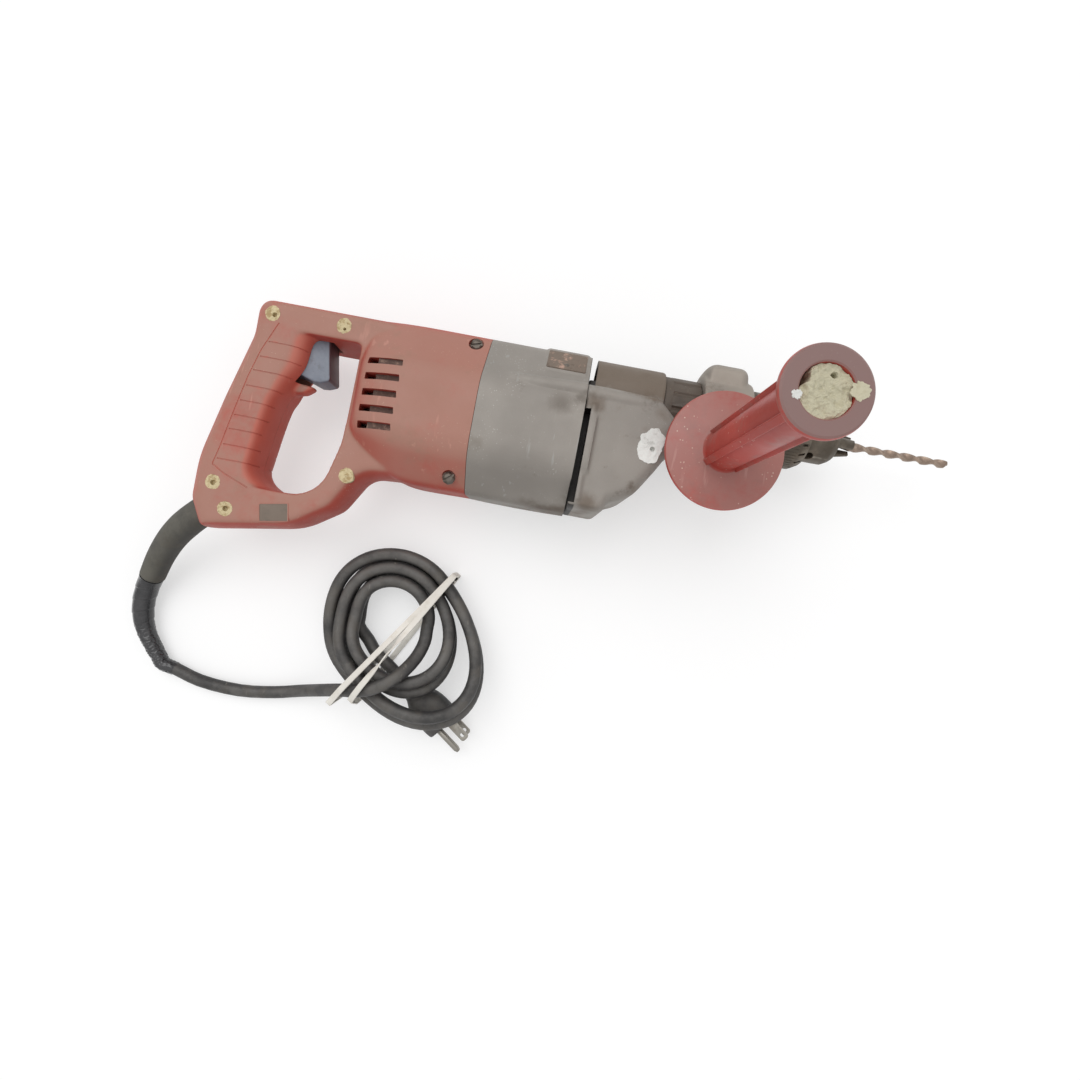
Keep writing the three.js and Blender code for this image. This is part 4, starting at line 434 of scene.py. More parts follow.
floor_material = bpy.data.materials.new("floor")
tree = fresh_tree(floor_material)
floor_white = 0.9
seen_white = 0.52  # what the camera sees of that; the rest is lift, so the shadow stays pale
full_white = 1.02  # both together, where no shadow lies
rays = put(tree, "LightPath").outputs
seen = reckoned(tree, "MAXIMUM", rays["Is Camera Ray"], rays["Is Glossy Ray"])
white = put(tree, "MapRange", {"Value": seen, 3: floor_white, 4: seen_white}).outputs[0]
lift = reckoned(tree, "MULTIPLY", seen, full_white - seen_white)
paper = put(tree, "BsdfDiffuse", {"Color": white})
glow = put(tree, "Emission", {"Color": (1, 1, 1, 1), "Strength": lift})
both = put(tree, "AddShader", {0: paper.outputs[0], 1: glow.outputs[0]})
put(tree, "OutputMaterial", {"Surface": both.outputs[0]})
floor.data.materials.append(floor_material)

world = bpy.data.worlds.new("sky")
bpy.context.scene.world = world
tree = fresh_tree(world)
height = coordinate(tree, put(tree, "TexCoord").outputs["Generated"], 2)
side_light, top_light = 0.35, 0.86
sky_range = {"Value": height, 1: -0.1, 2: 0.9, 3: side_light, 4: top_light}
level = put(tree, "MapRange", sky_range).outputs[0]
sky = put(tree, "Background", {"Color": (1, 1, 1, 1), "Strength": level})
put(tree, "OutputWorld", {"Surface": sky.outputs[0]})

lamp_data = bpy.data.lights.new("lamp", "SUN")
lamp_data.energy = 1.0
lamp_data.angle = math.radians(50)
lamp = placed("lamp", lamp_data)
lamp.rotation_euler = (math.radians(-24), math.radians(-20), 0)
print("floor, sky and lamp")


# %% [markdown]
# Old paint and plastic look alike in one way: a clean colour, lighter dust on the faces that
# look up, darker dirt in patches, bare edges and small specks. Each of these is a mask, a value
# from 0 to 1 over the surface, so each is one node group, used by every material with its own
# numbers. The masks read the piece's own coordinates, so they move with it.


# %% Masks shared by the materials
def group(name, inputs, build):
    """A node group with number inputs and one mask output."""
    made = bpy.data.node_groups.new(name, "ShaderNodeTree")
    for label, value in inputs.items():
        socket = made.interface.new_socket(label, in_out="INPUT", socket_type="NodeSocketFloat")
        socket.default_value = value
    made.interface.new_socket("Mask", in_out="OUTPUT", socket_type="NodeSocketFloat")
    entry = made.nodes.new("NodeGroupInput")
    leave = made.nodes.new("NodeGroupOutput")
    made.links.new(build(made, entry.outputs), leave.inputs["Mask"])
    return made


def object_place(tree):
    return put(tree, "TexCoord").outputs["Object"]


def noise_of(tree, scale, detail=4, rough=0.6, place=None):
    inputs = {"Vector": place or object_place(tree), "Scale": scale, "Detail": detail}
    return put(tree, "TexNoise", {**inputs, "Roughness": rough}).outputs["Fac"]


def between(tree, value, low, high):
    """0 below low, 1 above high, smooth between them."""
    inputs = {"Value": value, 1: low, 2: high, 3: 0, 4: 1}
    return put(tree, "MapRange", inputs, interpolation_type="SMOOTHSTEP").outputs[0]


def times(tree, a, b):
    return reckoned(tree, "MULTIPLY", a, b)


def facing(tree, axis):
    """How far the surface faces along an axis, from -1 to 1."""
    return coordinate(tree, put(tree, "TexCoord").outputs["Normal"], axis)


def build_dust(tree, given):
    up = between(tree, facing(tree, 2), 0.35, 0.95)
    lumps = noise_of(tree, given["Scale"], 6, 0.65)
    uneven = between(tree, reckoned(tree, "ADD", lumps, given["Cover"]), 0.25, 0.62)
    return times(tree, times(tree, up, uneven), given["Amount"])


def build_patches(tree, given):
    blots = noise_of(tree, given["Scale"], 5, 0.7)
    edge = reckoned(tree, "ADD", given["Start"], 0.16)
    return times(tree, between(tree, blots, given["Start"], edge), given["Amount"])


def build_specks(tree, given):
    cells = put(tree, "TexVoronoi", {"Vector": object_place(tree), "Scale": given["Scale"]})
    near = between(tree, cells.outputs["Distance"], given["Size"], 0)
    some = between(tree, noise_of(tree, 38, 2), 0.5, 0.62)
    return times(tree, times(tree, near, some), given["Amount"])


def build_edges(tree, given):
    point = put(tree, "NewGeometry").outputs["Pointiness"]
    worn = between(tree, point, given["Start"], 0.62)
    uneven = between(tree, noise_of(tree, 160, 4), 0.35, 0.6)
    return times(tree, times(tree, worn, uneven), given["Amount"])


def build_scratches(tree, given):
    stretch = put(tree, "Mapping", {"Vector": object_place(tree), "Scale": (1, 0.12, 1)})
    stretch.inputs["Rotation"].default_value = (0.2, 0.3, 0.9)
    fine = noise_of(tree, given["Scale"], 3, 0.5, stretch.outputs[0])
    some = between(tree, noise_of(tree, 30, 2), 0.48, 0.6)
    return times(tree, times(tree, between(tree, fine, 0.63, 0.7), some), given["Amount"])


masks = {
    "dust": group("dust on upper faces", {"Scale": 24, "Cover": 0, "Amount": 1}, build_dust),
    "patches": group("dirt in patches", {"Scale": 20, "Start": 0.5, "Amount": 1}, build_patches),
    "specks": group("small specks", {"Scale": 300, "Size": 0.25, "Amount": 1}, build_specks),
    "edges": group("worn edges", {"Start": 0.53, "Amount": 1}, build_edges),
    "scratches": group("scratches", {"Scale": 240, "Amount": 1}, build_scratches),
}
print("masks:", ", ".join(masks))


def mask(tree, kind, *numbers):
    """A mask with its numbers in the order in which the group lists them."""
    node = tree.nodes.new("ShaderNodeGroup")
    node.node_tree = masks[kind]
    for socket, value in zip(node.inputs, numbers, strict=True):
        socket.default_value = value
    return node.outputs["Mask"]


def over(tree, factor, under, top):
    """One colour laid over another where the mask says."""
    node = put(tree, "Mix", {0: factor, 6: under, 7: top}, data_type="RGBA")
    return node.outputs[2]


def finish(name, base, roughness, bump, *layers, metallic=0.0, coat=0.0, extra=None):
    """A material from a base colour, a range of roughness, a grain (how fine, how many mm
    deep) and layers, each with a mask, the mask's numbers and a colour."""
    material = bpy.data.materials.new(name)
    tree = fresh_tree(material)
    base = colour(*base)
    tone = noise_of(tree, 9, 4, 0.55)
    light = between(tree, tone, 0.35, 0.65)
    darker = tuple(c * 0.86 for c in base[:3]) + (1,)
    brighter = tuple(min(1, c * 1.12) for c in base[:3]) + (1,)
    look = over(tree, light, darker, brighter)
    for kind, *numbers, paint in layers:
        look = over(tree, mask(tree, kind, *numbers), look, colour(*paint))
    if extra:
        look = extra(tree, look)
    shader = put(tree, "BsdfPrincipled", {"Base Color": look})
    low, high = roughness
    sheen = {"Value": noise_of(tree, 45, 4), 1: 0.3, 2: 0.7, 3: low, 4: high}
    tree.links.new(put(tree, "MapRange", sheen).outputs[0], shader.inputs["Roughness"])
    shader.inputs["Metallic"].default_value = metallic
    if coat:
        shader.inputs["Coat Weight"].default_value = coat
        shader.inputs["Coat Roughness"].default_value = 0.25
    scale, depth = bump
    grain = {"Height": noise_of(tree, scale, 6, 0.6), "Strength": 1, "Distance": depth * mm}
    tree.links.new(put(tree, "Bump", grain).outputs[0], shader.inputs["Normal"])
    put(tree, "OutputMaterial", {"Surface": shader.outputs[0]})
    return material


# %% [markdown]
# The tool is worn in different ways. The rear housing's red plastic has gone pink under fine
# dust but stays red where it turns away from above. The castings are grey paint with pale specks
# and brown grime at the front and along the underside. The chuck and the bit are brown with
# oil. Rubber is nearly black under the dust, and tape is the one glossy thing.

# %% The finishes
brown_grime = (84, 70, 56)
half_wander = 15  # how far, in millimetres, noise moves the edge of grime to either side


def grime_band(low, high, amount, paint, rear=None, front=None, spots=()):
    """Grime that grows across a casting along Y, and in spots of (x, y, reach)."""

    def build(tree, look):
        place = object_place(tree)
        parts = put(tree, "SeparateXYZ", {0: place}).outputs
        wander = times(tree, noise_of(tree, 30, 5), 2 * half_wander * mm)
        height = reckoned(tree, "ADD", parts[1], wander)
        band = between(tree, height, (low + half_wander) * mm, (high + half_wander) * mm)
        if rear is not None:
            band = times(tree, band, between(tree, parts[0], rear * mm, front * mm))
        look = over(tree, times(tree, band, amount), look, colour(*paint))
        level = put(tree, "VectorMath", {0: place, 1: (1, 1, 0)}, operation="MULTIPLY").outputs[0]
        for x, y, reach in spots:
            ends = {0: level, 1: (x * mm, y * mm, 0)}
            away = put(tree, "VectorMath", ends, operation="DISTANCE").outputs["Value"]
            away = reckoned(tree, "ADD", away, wander)
            stain = between(tree, away, (reach + 18) * mm, (reach * 0.3 + 12) * mm)
            look = over(tree, times(tree, stain, amount), look, colour(*paint))
        return look

    return build


def worn_end(tree, look):
    """The hollow end of the handle is rubbed grey; its rim stays red."""
    end = between(tree, coordinate(tree, object_place(tree), 2), 206 * mm, 210 * mm)
    rubbed = mask(tree, "dust", 26, 0.2, 0.92)
    return over(tree, times(tree, end, rubbed), look, colour(131, 106, 102))


def dark_front(tree, look):
    """The trigger's front, where the finger lies, is dark."""
    return over(tree, between(tree, facing(tree, 0), 0.35, 0.75), look, colour(92, 72, 76))


def clean_and_lit_grip(tree, look):
    """The grip's inner side is clean red from fingers and lightened as painted light."""
    ahead = between(tree, facing(tree, 0), 0.1, 0.5)
    along = coordinate(tree, object_place(tree), 0)
    inner = times(tree, ahead, between(tree, along, -138 * mm, -150 * mm))
    return over(tree, times(tree, inner, 0.6), look, colour(204, 106, 88))


def painted_slot_shade(start, full):
    """Painted shade, black inside the air slot between the castings; start and full are places
    along X.
    """

    def build(tree, look):
        parts = put(tree, "SeparateXYZ", {0: object_place(tree)}).outputs
        along = between(tree, parts[0], start * mm, full * mm)
        off = reckoned(tree, "ABSOLUTE", reckoned(tree, "ADD", parts[2], -middle * mm))
        deep = between(tree, off, 37.4 * mm, 36 * mm)
        return over(tree, times(tree, along, deep), look, colour(44, 40, 37))

    return build


cast_low = grime_band(-37, -44, 0.8, brown_grime, -15, 20)
nowhere = (-90, -99)  # below the tool, where only the spots show
cast_spots = grime_band(*nowhere, 0.65, (100, 92, 83), spots=[(20, 19, 9), (31, 24, 3)])
gear_high = grime_band(33.5, 38, 0.85, (112, 98, 84))
gear_stains = [(38, 25, 3), (73, 15, 4), (81, 26, 6), (44, -38, 5)]
gear_spots = grime_band(*nowhere, 0.75, (102, 88, 74), spots=gear_stains)


# Both castings end with the painted shade that blacks the inside of the air slot.
def cast_extra(tree, look):
    return painted_slot_shade(32.5, 32.9)(tree, cast_spots(tree, cast_low(tree, look)))


def gearcase_extra(tree, look):
    return painted_slot_shade(37.9, 37.2)(tree, gear_spots(tree, gear_high(tree, look)))


red_moulding = finish(
    "dusty red moulding", (180, 76, 62), (0.5, 0.68), (900, 0.05),
    ("dust", 22, 0.12, 0.9, (166, 124, 109)),
    ("patches", 26, 0.52, 0.5, (152, 116, 98)),
    ("specks", 420, 0.16, 0.6, (214, 190, 166)),
    ("scratches", 260, 0.35, (204, 150, 134)),
    ("edges", 0.55, 0.35, (196, 96, 82)),
    # the grip's inner side is clean red, and painted lighter there as painted light
    extra=clean_and_lit_grip,
)
handle_red = finish(
    "scuffed red handle", (178, 66, 56), (0.34, 0.52), (700, 0.04),
    ("dust", 30, 0.07, 0.82, (162, 116, 108)),
    ("patches", 34, 0.5, 0.5, (148, 104, 96)),
    ("specks", 330, 0.2, 0.9, (224, 206, 190)),
    ("scratches", 220, 0.22, (206, 166, 158)),
    ("edges", 0.54, 0.3, (196, 116, 106)),
    extra=worn_end,
)
cast_grey = finish(
    "worn grey casting", (148, 142, 135), (0.5, 0.68), (650, 0.12),
    ("patches", 17, 0.5, 0.6, (126, 118, 108)),
    ("patches", 42, 0.64, 0.6, brown_grime),
    ("specks", 520, 0.24, 0.8, (196, 194, 188)),
    ("scratches", 300, 0.4, (172, 172, 168)),
    ("edges", 0.54, 0.5, (158, 156, 150)),
    metallic=0.15,
    extra=cast_extra,
)
gearcase_grey = finish(
    "grimy grey casting", (146, 140, 133), (0.48, 0.68), (600, 0.14),
    ("patches", 22, 0.5, 0.6, (122, 112, 100)),
    ("patches", 48, 0.6, 0.6, brown_grime),
    ("specks", 480, 0.2, 0.6, (184, 182, 176)),
    ("edges", 0.54, 0.45, (156, 146, 132)),
    metallic=0.15,
    extra=gearcase_extra,
)
clamp_grey = finish(
    "dusty bare casting", (154, 146, 137), (0.5, 0.7), (500, 0.12),
    ("dust", 40, 0, 0.6, (174, 164, 153)),
    ("patches", 50, 0.55, 0.6, (112, 98, 84)),
    metallic=0.3,
)
chuck_steel = finish(
    "oily chuck steel", (86, 78, 68), (0.38, 0.6), (800, 0.05),
    ("patches", 60, 0.46, 0.7, (112, 100, 86)),
    ("edges", 0.53, 0.7, (150, 142, 130)),
    ("specks", 500, 0.2, 0.5, (150, 134, 112)),
    metallic=0.6,
)
bright_steel = finish(
    "ground steel", (158, 154, 146), (0.28, 0.45), (1200, 0.02),
    ("patches", 90, 0.5, 0.5, (118, 108, 96)),
    ("scratches", 420, 0.5, (196, 194, 188)),
    metallic=0.9,
)
screw_steel = finish(
    "dull screw steel", (112, 104, 96), (0.4, 0.6), (900, 0.04),
    ("patches", 160, 0.48, 0.7, (78, 66, 56)),
    metallic=0.6,
)
nose_grime = finish(
    "grimy nose", (94, 83, 73), (0.5, 0.68), (700, 0.1),
    ("patches", 60, 0.5, 0.6, (72, 62, 54)),
    ("specks", 420, 0.22, 0.6, (150, 136, 118)),
)
bit_steel = finish(
    "browned bit steel", (146, 127, 113), (0.34, 0.52), (900, 0.03),
    ("patches", 120, 0.5, 0.7, (178, 154, 136)),
    ("edges", 0.51, 1, (214, 196, 178)),
    metallic=0.5,
)
trigger_grey = finish(
    "dusty trigger", (108, 116, 130), (0.42, 0.58), (900, 0.04),
    ("dust", 60, 0, 0.6, (140, 146, 156)),
    ("patches", 90, 0.56, 0.5, (92, 88, 90)),
    extra=dark_front,
)
black_moulding = finish(
    "black moulding", (44, 43, 42), (0.5, 0.68), (900, 0.04),
    ("dust", 60, 0, 0.5, (96, 92, 86)),
)
cord_rubber = finish(
    "dusty cord rubber", (54, 53, 53), (0.42, 0.66), (520, 0.16),
    ("dust", 34, -0.04, 0.75, (108, 105, 101)),
    ("patches", 70, 0.5, 0.5, (88, 83, 76)),
    ("scratches", 320, 0.6, (134, 130, 122)),
)
guard_rubber = finish(
    "dusty guard rubber", (70, 68, 64), (0.66, 0.84), (700, 0.1),
    ("dust", 40, 0, 0.75, (104, 101, 92)),
    ("patches", 60, 0.5, 0.5, (86, 80, 70)),
)
tape_black = finish(
    "glossy wound tape", (28, 28, 31), (0.16, 0.3), (240, 0.4),
    ("dust", 90, 0, 0.3, (92, 90, 92)),
    coat=0.5,
)
plaster_cream = finish(
    "cream filler", (214, 198, 158), (0.82, 0.95), (420, 0.6),
    ("patches", 260, 0.46, 0.85, (166, 140, 98)),
    ("patches", 420, 0.58, 0.8, (112, 88, 60)),
)
plaster_white = finish(
    "white filler", (226, 226, 222), (0.82, 0.95), (420, 0.5),
    ("patches", 130, 0.54, 0.6, (160, 158, 152)),
)
filler_stone = finish(
    "filler in the handle", (204, 198, 172), (0.84, 0.96), (260, 0.9),
    ("patches", 110, 0.5, 0.6, (178, 168, 138)),
    ("specks", 300, 0.2, 0.5, (142, 132, 108)),
)
copper = finish(
    "varnished copper", (160, 92, 56), (0.34, 0.5), (700, 0.08),
    ("patches", 90, 0.5, 0.6, (104, 60, 38)),
    metallic=0.85,
)
carbon = finish(
    "pressed carbon", (34, 34, 36), (0.7, 0.85), (900, 0.05),
    ("patches", 120, 0.5, 0.5, (58, 56, 56)),
)
band_pale = finish(
    "pale rubber band", (238, 234, 225), (0.5, 0.65), (600, 0.05),
    ("patches", 140, 0.5, 0.4, (210, 202, 188)),
)
plate_grey = finish(
    "bare grey plate", (124, 110, 98), (0.5, 0.65), (700, 0.05),
    ("patches", 120, 0.5, 0.6, (104, 96, 86)),
    metallic=0.2,
)
painted_plate = finish(
    "pad with old paint", (116, 102, 90), (0.5, 0.68), (600, 0.1),
    ("patches", 90, 0.53, 0.8, (206, 168, 150)),
    ("patches", 260, 0.54, 0.8, (96, 82, 70)),
)
caked_dust = finish(
    "brown dust", (104, 84, 76), (0.85, 0.95), (500, 0.5),
    ("patches", 240, 0.5, 0.8, (150, 124, 110)),
    ("patches", 400, 0.6, 0.8, (52, 40, 36)),
)
print("finishes", len(bpy.data.materials))


# %% [markdown]
# The cord leaves the rubber guard behind the handle, is bound with tape for a hand's width,
# crosses the floor in one slack curve and climbs on to its own coil. The coil has an upper
# layer that winds outwards and a lower one that winds in again, drawn long on one side and
# pressed flat on the other, and it rides up where it crosses the plug. A smooth line through a
# few measured points and one formula for the loops give all of it as a single cord.


# %% The cord's line
def smooth_line(points, steps=8):
    """A smooth line through points, evenly tight at close and at distant ones."""
    points = [Vector(p) for p in points]
    padded = [points[0] * 2 - points[1], *points, points[-1] * 2 - points[-2]]
    line = []
    for p0, p1, p2, p3 in zip(padded, padded[1:], padded[2:], padded[3:]):
        d0, d1, d2 = [(b - a).length ** 0.5 for a, b in ((p0, p1), (p1, p2), (p2, p3))]
        leave = ((p1 - p0) / d0 - (p2 - p0) / (d0 + d1) + (p2 - p1) / d1) * d1
        reach = ((p2 - p1) / d1 - (p3 - p1) / (d1 + d2) + (p3 - p2) / d2) * d1
        for s in range(steps):
            t = s / steps
            bend = (p2 - p1) * 3 - leave * 2 - reach
            line.append(p1 + leave * t + bend * t**2 + ((p1 - p2) * 2 + leave + reach) * t**3)
    line.append(points[-1])
    return line


def ahead_of(points, distance):
    """A point straight ahead of a line's end."""
    return points[-1] + (points[-1] - points[-2]).normalized() * distance


def line_length(points):
    return sum((b - a).length for a, b in zip(points, points[1:]))


cord_radius = 4.5
guard_line = smooth_line(
    [
        (-198, -77, 42),
        (-210.6, -88.3, 42),
        (-223, -99.5, 37.5),
        (-234.5, -110.8, 29.5),
        (-244.5, -124.5, 21.5),
        (-252.4, -140.3, 14.6),
    ],
    16,
)
taped_points = [
    ahead_of(guard_line, 8.4),  # the first stretch runs straight on
    (-258.3, -160, 9.4),
    (-257.4, -171, 8.4),
    (-253.9, -181.5, 7.6),
    (-247.8, -191, 7),
    (-241.2, -199.8, 6.4),
]
floor_points = [
    (-228, -206.5, 5.2),
    (-209.4, -211.8, 4.8),
    (-179, -213.6, 4.8),
    (-152, -209.8, 5.6),
    (-132, -204, 10),
    (-114, -197.5, 22),
    (-97, -191.5, 34),
    (-82, -187.5, 42),
    (-69, -181.5, 46),
    (-57, -172, 44.5),
    (-49, -160, 34),
]

inner_turn = 26.5  # radius of the innermost loop
turn_pitch = 10
layer_rise = 10.6
upper_turns = 2.3
climb_turns = 0.5
lower_turns = 1.75
coil_middle = Vector((-73, -140))
coil_lean = math.radians(-40)
longer = 0.71  # how much longer than round the outer loops are drawn
pressed_at, pressed_by, pressed_over = 182, 5, 35  # the flat side: degrees, depth, degrees
lowest = 1.7  # between the floor and the lower layer
plug_under = Vector((-40, -196))  # where the cord rides over the plug
plug_lift, lift_reach = 23, 55


def coil_point(turns):
    """The coil's centre line after a number of turns."""
    down = min(max((turns - upper_turns) / climb_turns, 0), 1)
    down = down * down * (3 - 2 * down)
    widest = upper_turns + 0.2
    outward = turns if turns < widest else 2 * widest - turns
    spread = min(max(outward / 2, 0), 1)
    degrees = turns * 360
    from_flat = (degrees - pressed_at + 180) % 360 - 180
    pressed = pressed_by * math.exp(-((from_flat / pressed_over) ** 2))
    radius = inner_turn + outward * turn_pitch - pressed
    angle = math.radians(degrees) - coil_lean
    along = radius * math.cos(angle)
    along *= 1 + longer * spread if along > 0 else 1
    across = radius * math.sin(angle) - spread
    spot = coil_middle + Matrix.Rotation(coil_lean, 2) @ Vector((along, across))
    lift = plug_lift * math.exp(-(((spot - plug_under).length / lift_reach) ** 2))
    return Vector((*spot, lowest + cord_radius + (1 - down) * layer_rise + lift))


all_turns = upper_turns + climb_turns + lower_turns
coil_steps = 109
coil_points = [coil_point(all_turns * i / coil_steps) for i in range(coil_steps + 1)]

plug_heading = math.radians(-36)
plug_way = Vector((math.cos(plug_heading), math.sin(plug_heading), 0))
plug_side = Vector((-math.sin(plug_heading), math.cos(plug_heading), 0))
plug_rear = Vector((-57.1, -184.1, 10.3))
to_plug = [(-90.5, -158.5, 6.5), (-82.5, -167, 8)]
to_plug += [plug_rear - plug_way * behind for behind in (18, 9, 0.3)]
lead_in = ahead_of(coil_points[1::-1], 9)

tape_line = smooth_line([guard_line[-1], *taped_points], 24)
past_tape = ahead_of(tape_line, 4.6)
cord_line = smooth_line(
    [guard_line[-1], *taped_points, past_tape, *floor_points, lead_in, *coil_points, *to_plug], 3
)
print("cord, mm:", round(line_length(cord_line)), "points:", len(cord_line))


# %% [markdown]
# The guard is a thick rubber sleeve that thins towards its end, with a collar held inside the
# handle. Tape winds round the cord where it leaves the guard: smooth at first, then slack and
# crinkled where the cord bends most. Both are tubes whose radius changes along the line, so
# the winding's edges and the crinkles are written into that radius.


# %% Guard, tape and cord
def sweep(name, line, radius, sides=40):
    """A tube along a line; its radius comes from the distance along it and the angle."""
    rings, side, gone = [], Vector((0, 0, 1)), 0
    for i, place in enumerate(line):
        before, after = line[max(i - 1, 0)], line[min(i + 1, len(line) - 1)]
        way = (after - before).normalized()
        side = (side - way * side.dot(way)).normalized()
        other = way.cross(side)
        gone += (place - before).length
        ring = []
        for k in range(sides):
            angle = 2 * math.pi * k / sides
            out = side * math.cos(angle) + other * math.sin(angle)
            ring.append(place + out * radius(gone, angle))
        rings.append(ring)
    return loft(name, rings)


guard_long = line_length(guard_line)
guard_thick, guard_taper, lip_long, lip_round = 9.8, 1.4, 1.5, 0.8
tape_thick, tape_taper = 7.7, 2.6
tape_turn = 9.5  # how far on each turn of tape lies


def guard_radius(gone, angle):
    """Straight for a third, then a taper, with a rounded lip."""
    share = gone / guard_long
    lip = max(0, gone - guard_long + lip_long) / lip_long
    return guard_thick - guard_taper * max(0, share - 0.35) / 0.65 - lip_round * lip**2


guard = sweep("cord_guard_look", guard_line, guard_radius)
way_in = (guard_line[1] - guard_line[0]).normalized()
collar_line = [guard_line[0] + way_in * d for d in (0, 0.6, 4.4, 5)]
collar = sweep("collar", collar_line, lambda gone, angle: 12.4 if 0 < gone < 4.9 else 11.8)
joined(guard, collar)
settled(guard, "tool_body", guard_rubber, "guard_rubber", "cord_guard", angle=50)

tape_path = tape_line[1:] + smooth_line([tape_line[-1], past_tape, floor_points[0]], 10)[1:]
tape_long = line_length(tape_path)


def tape_radius(gone, angle):
    """Smooth turns at first, then slack ones that crinkle."""
    share = gone / tape_long
    wound = tape_thick - tape_taper * share**1.1
    slack = min(max((share - 0.38) / 0.2, 0), 1)
    edge = (gone / tape_turn - angle / (2 * math.pi)) % 1
    folds = noise.noise(Vector((gone * 0.32, math.sin(angle) * 2.2, math.cos(angle) * 2.2)))
    slanted = math.sin(gone * 1.5 + angle * 2 + 3 * folds)
    crinkle = 0.35 * abs(slanted) + 0.7 * abs(folds)
    end = 0.5 * max(0, gone - tape_long + 1)
    return wound + 0.35 * edge * (1 - slack) - slack * crinkle - end


tape = sweep("tape_look", tape_path, tape_radius, 64)
settled(tape, "tool_body", tape_black, "tape_black", "tape_wrap", angle=60)

cord = tube("cord", cord_line, cord_radius, 20)
cord.data.materials.append(cord_rubber)
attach(cord, "tool_body")
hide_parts("cord_run", "cord_coil")
print("guard and tape, mm:", round(guard_long), round(tape_long))


# %% [markdown]
# The plug is moulded on to the cord's end: a narrow neck, a shoulder for the fingers and a
# squarish front with three prongs. It lies under the coil, so only its front shows. The
# prongs are the solids' own, joined into whole faces again and given small rounded edges. The
# same is done later for other small pieces whose solid already has the right form.


# %% Plug, prongs, and a finer copy of any small solid
def plug_point(along, across, up):
    return plug_rear + plug_way * along + plug_side * across + Vector((0, 0, up))


def squarish(count):
    """Points round a shape between a circle and a square, one unit to each side."""
    turns = [2 * math.pi * k / count for k in range(count)]
    pairs = [(math.cos(turn), math.sin(turn)) for turn in turns]
    return [[math.copysign(abs(v) ** 0.75, v) for v in pair] for pair in pairs]


plug_stations = [
    (0, 6.75, 6.4),
    (9.2, 7.4, 7),
    (16.8, 11.3, 9),
    (25.2, 13.5, 10),
    (39.9, 13.5, 10),
    (41.6, 13, 9.5),
    (42, 12.4, 9),
]
plug_rings = []
for along, wide, high in smooth_line(plug_stations, 5):
    plug_rings.append([plug_point(along, a * wide, b * high) for a, b in squarish(48)])
plug = loft("plug", plug_rings)
settled(plug, "tool_body", cord_rubber, "black_plastic", "plug_body")


def dressed(node, material, slot, body, edge, limit=30):
    """A copy of a solid with its flat faces made whole, its edges rounded and a new surface."""
    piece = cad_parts[node].copy()
    piece.data = piece.data.copy()
    piece.name = piece.data.name = node + "_look"
    piece.parent = None
    piece.matrix_world = Matrix.Identity(4)
    bpy.context.scene.collection.objects.link(piece)
    only(piece)
    bpy.ops.mesh.customdata_custom_splitnormals_clear()
    mended(piece, whole=True)
    if edge:
        eased(piece, edge, limit)
    return settled(piece, body, material, slot, node)


prongs = [
    dressed(node, bright_steel, "bright_steel", "tool_body", 0.2)
    for node in ("plug_pin", "plug_blade_upper", "plug_blade_lower")
]
print("plug and prongs", [p.name for p in (plug, *prongs)])


# %% [markdown]
# A pale rubber band holds the coil together. It was looped once and its two strands lie side by
# side over the cord, drawn tight from the coil's edge to the far side, and one strand is
# turned over half way. Each strand is a closed loop: over the highest loops, down the side and
# back flat underneath. Its strip is wider than thick and leans as it goes.


# %% The rubber band
band_wide = 4.2
band_thick = 1
band_low = 1.25  # height of its flat run under the coil
band_over = 1.2  # room between the cord and the strand over it
band_bend = 2.2  # radius at its corners


def over_the_cords(start, end):
    """Distances and heights of a strand drawn tight over the cord."""
    tops = []
    for i in range(41):
        spot = start.lerp(end, min(max(i / 40, 0.04), 0.96))  # both ends look a little way in
        near = [p.z for p in cord_line if (p.xy - spot).length < cord_radius + band_wide / 2]
        top = max(near, default=cord_radius) + cord_radius + band_over
        tops.append((i / 40 * (end - start).length, top))
    hull = []
    for at, high in tops:
        while len(hull) > 1:
            (x0, y0), (x1, y1) = hull[-2:]
            if (x1 - x0) * (high - y0) - (y1 - y0) * (at - x0) < 0:
                break
            hull.pop()
        hull.append((at, high))
    return hull


def band_strand(name, start, end, turned_over):
    """One strand; turned_over is how many half turns it makes on its way across."""
    start, end = Vector(start), Vector(end)
    way = (end - start).normalized()
    aside = Vector((-way.y, way.x, 0))
    hull = over_the_cords(start, end)
    total = hull[-1][0]
    places = [(0, band_low), *hull, (total, band_low)]
    path = rounded([(at, high, band_bend) for at, high in places], 5)
    dense = stepped([*path, path[0]], 2)[:-1]
    rings = []
    for i, p in enumerate(dense):
        along = (dense[(i + 1) % len(dense)] - dense[i - 1]).normalized()
        flow = Vector((way.x * along.x, way.y * along.x, along.y))
        out = Vector((-along.y * way.x, -along.y * way.y, along.x))
        share = p.x / total
        lean = 0
        if p.y > 8:  # above the cord, not on the floor
            turn = math.pi * turned_over * math.exp(-(((share - 0.58) / 0.1) ** 2))
            lean = 0.35 * math.sin(share * math.pi) + turn * 0.5
        wide = aside * math.cos(lean) + out * math.sin(lean)
        thick = flow.cross(wide).normalized()
        if thick.dot(out) < 0 and abs(lean) < math.pi / 2:
            thick = -thick
        centre = Vector((start.x + p.x * way.x, start.y + p.x * way.y, p.y)) + out * band_thick / 2
        w, t = wide * band_wide / 2, thick * band_thick / 2
        rings.append([centre - w - t, centre + w - t, centre + w + t, centre - w + t])
    return loft(name, rings, closed=True)


band_edge = (-34.5, -99)
band = band_strand("rubber_band_look", band_edge, (-101.5, -200.5), 0)
second = band_strand("second_strand", band_edge, (-91, -204.5), 0.9)
only(band, second)
bpy.ops.object.join()
eased(band, 0.3)
settled(band, "tool_body", band_pale, "band_white", "rubber_band")

print("band and cord are in place")


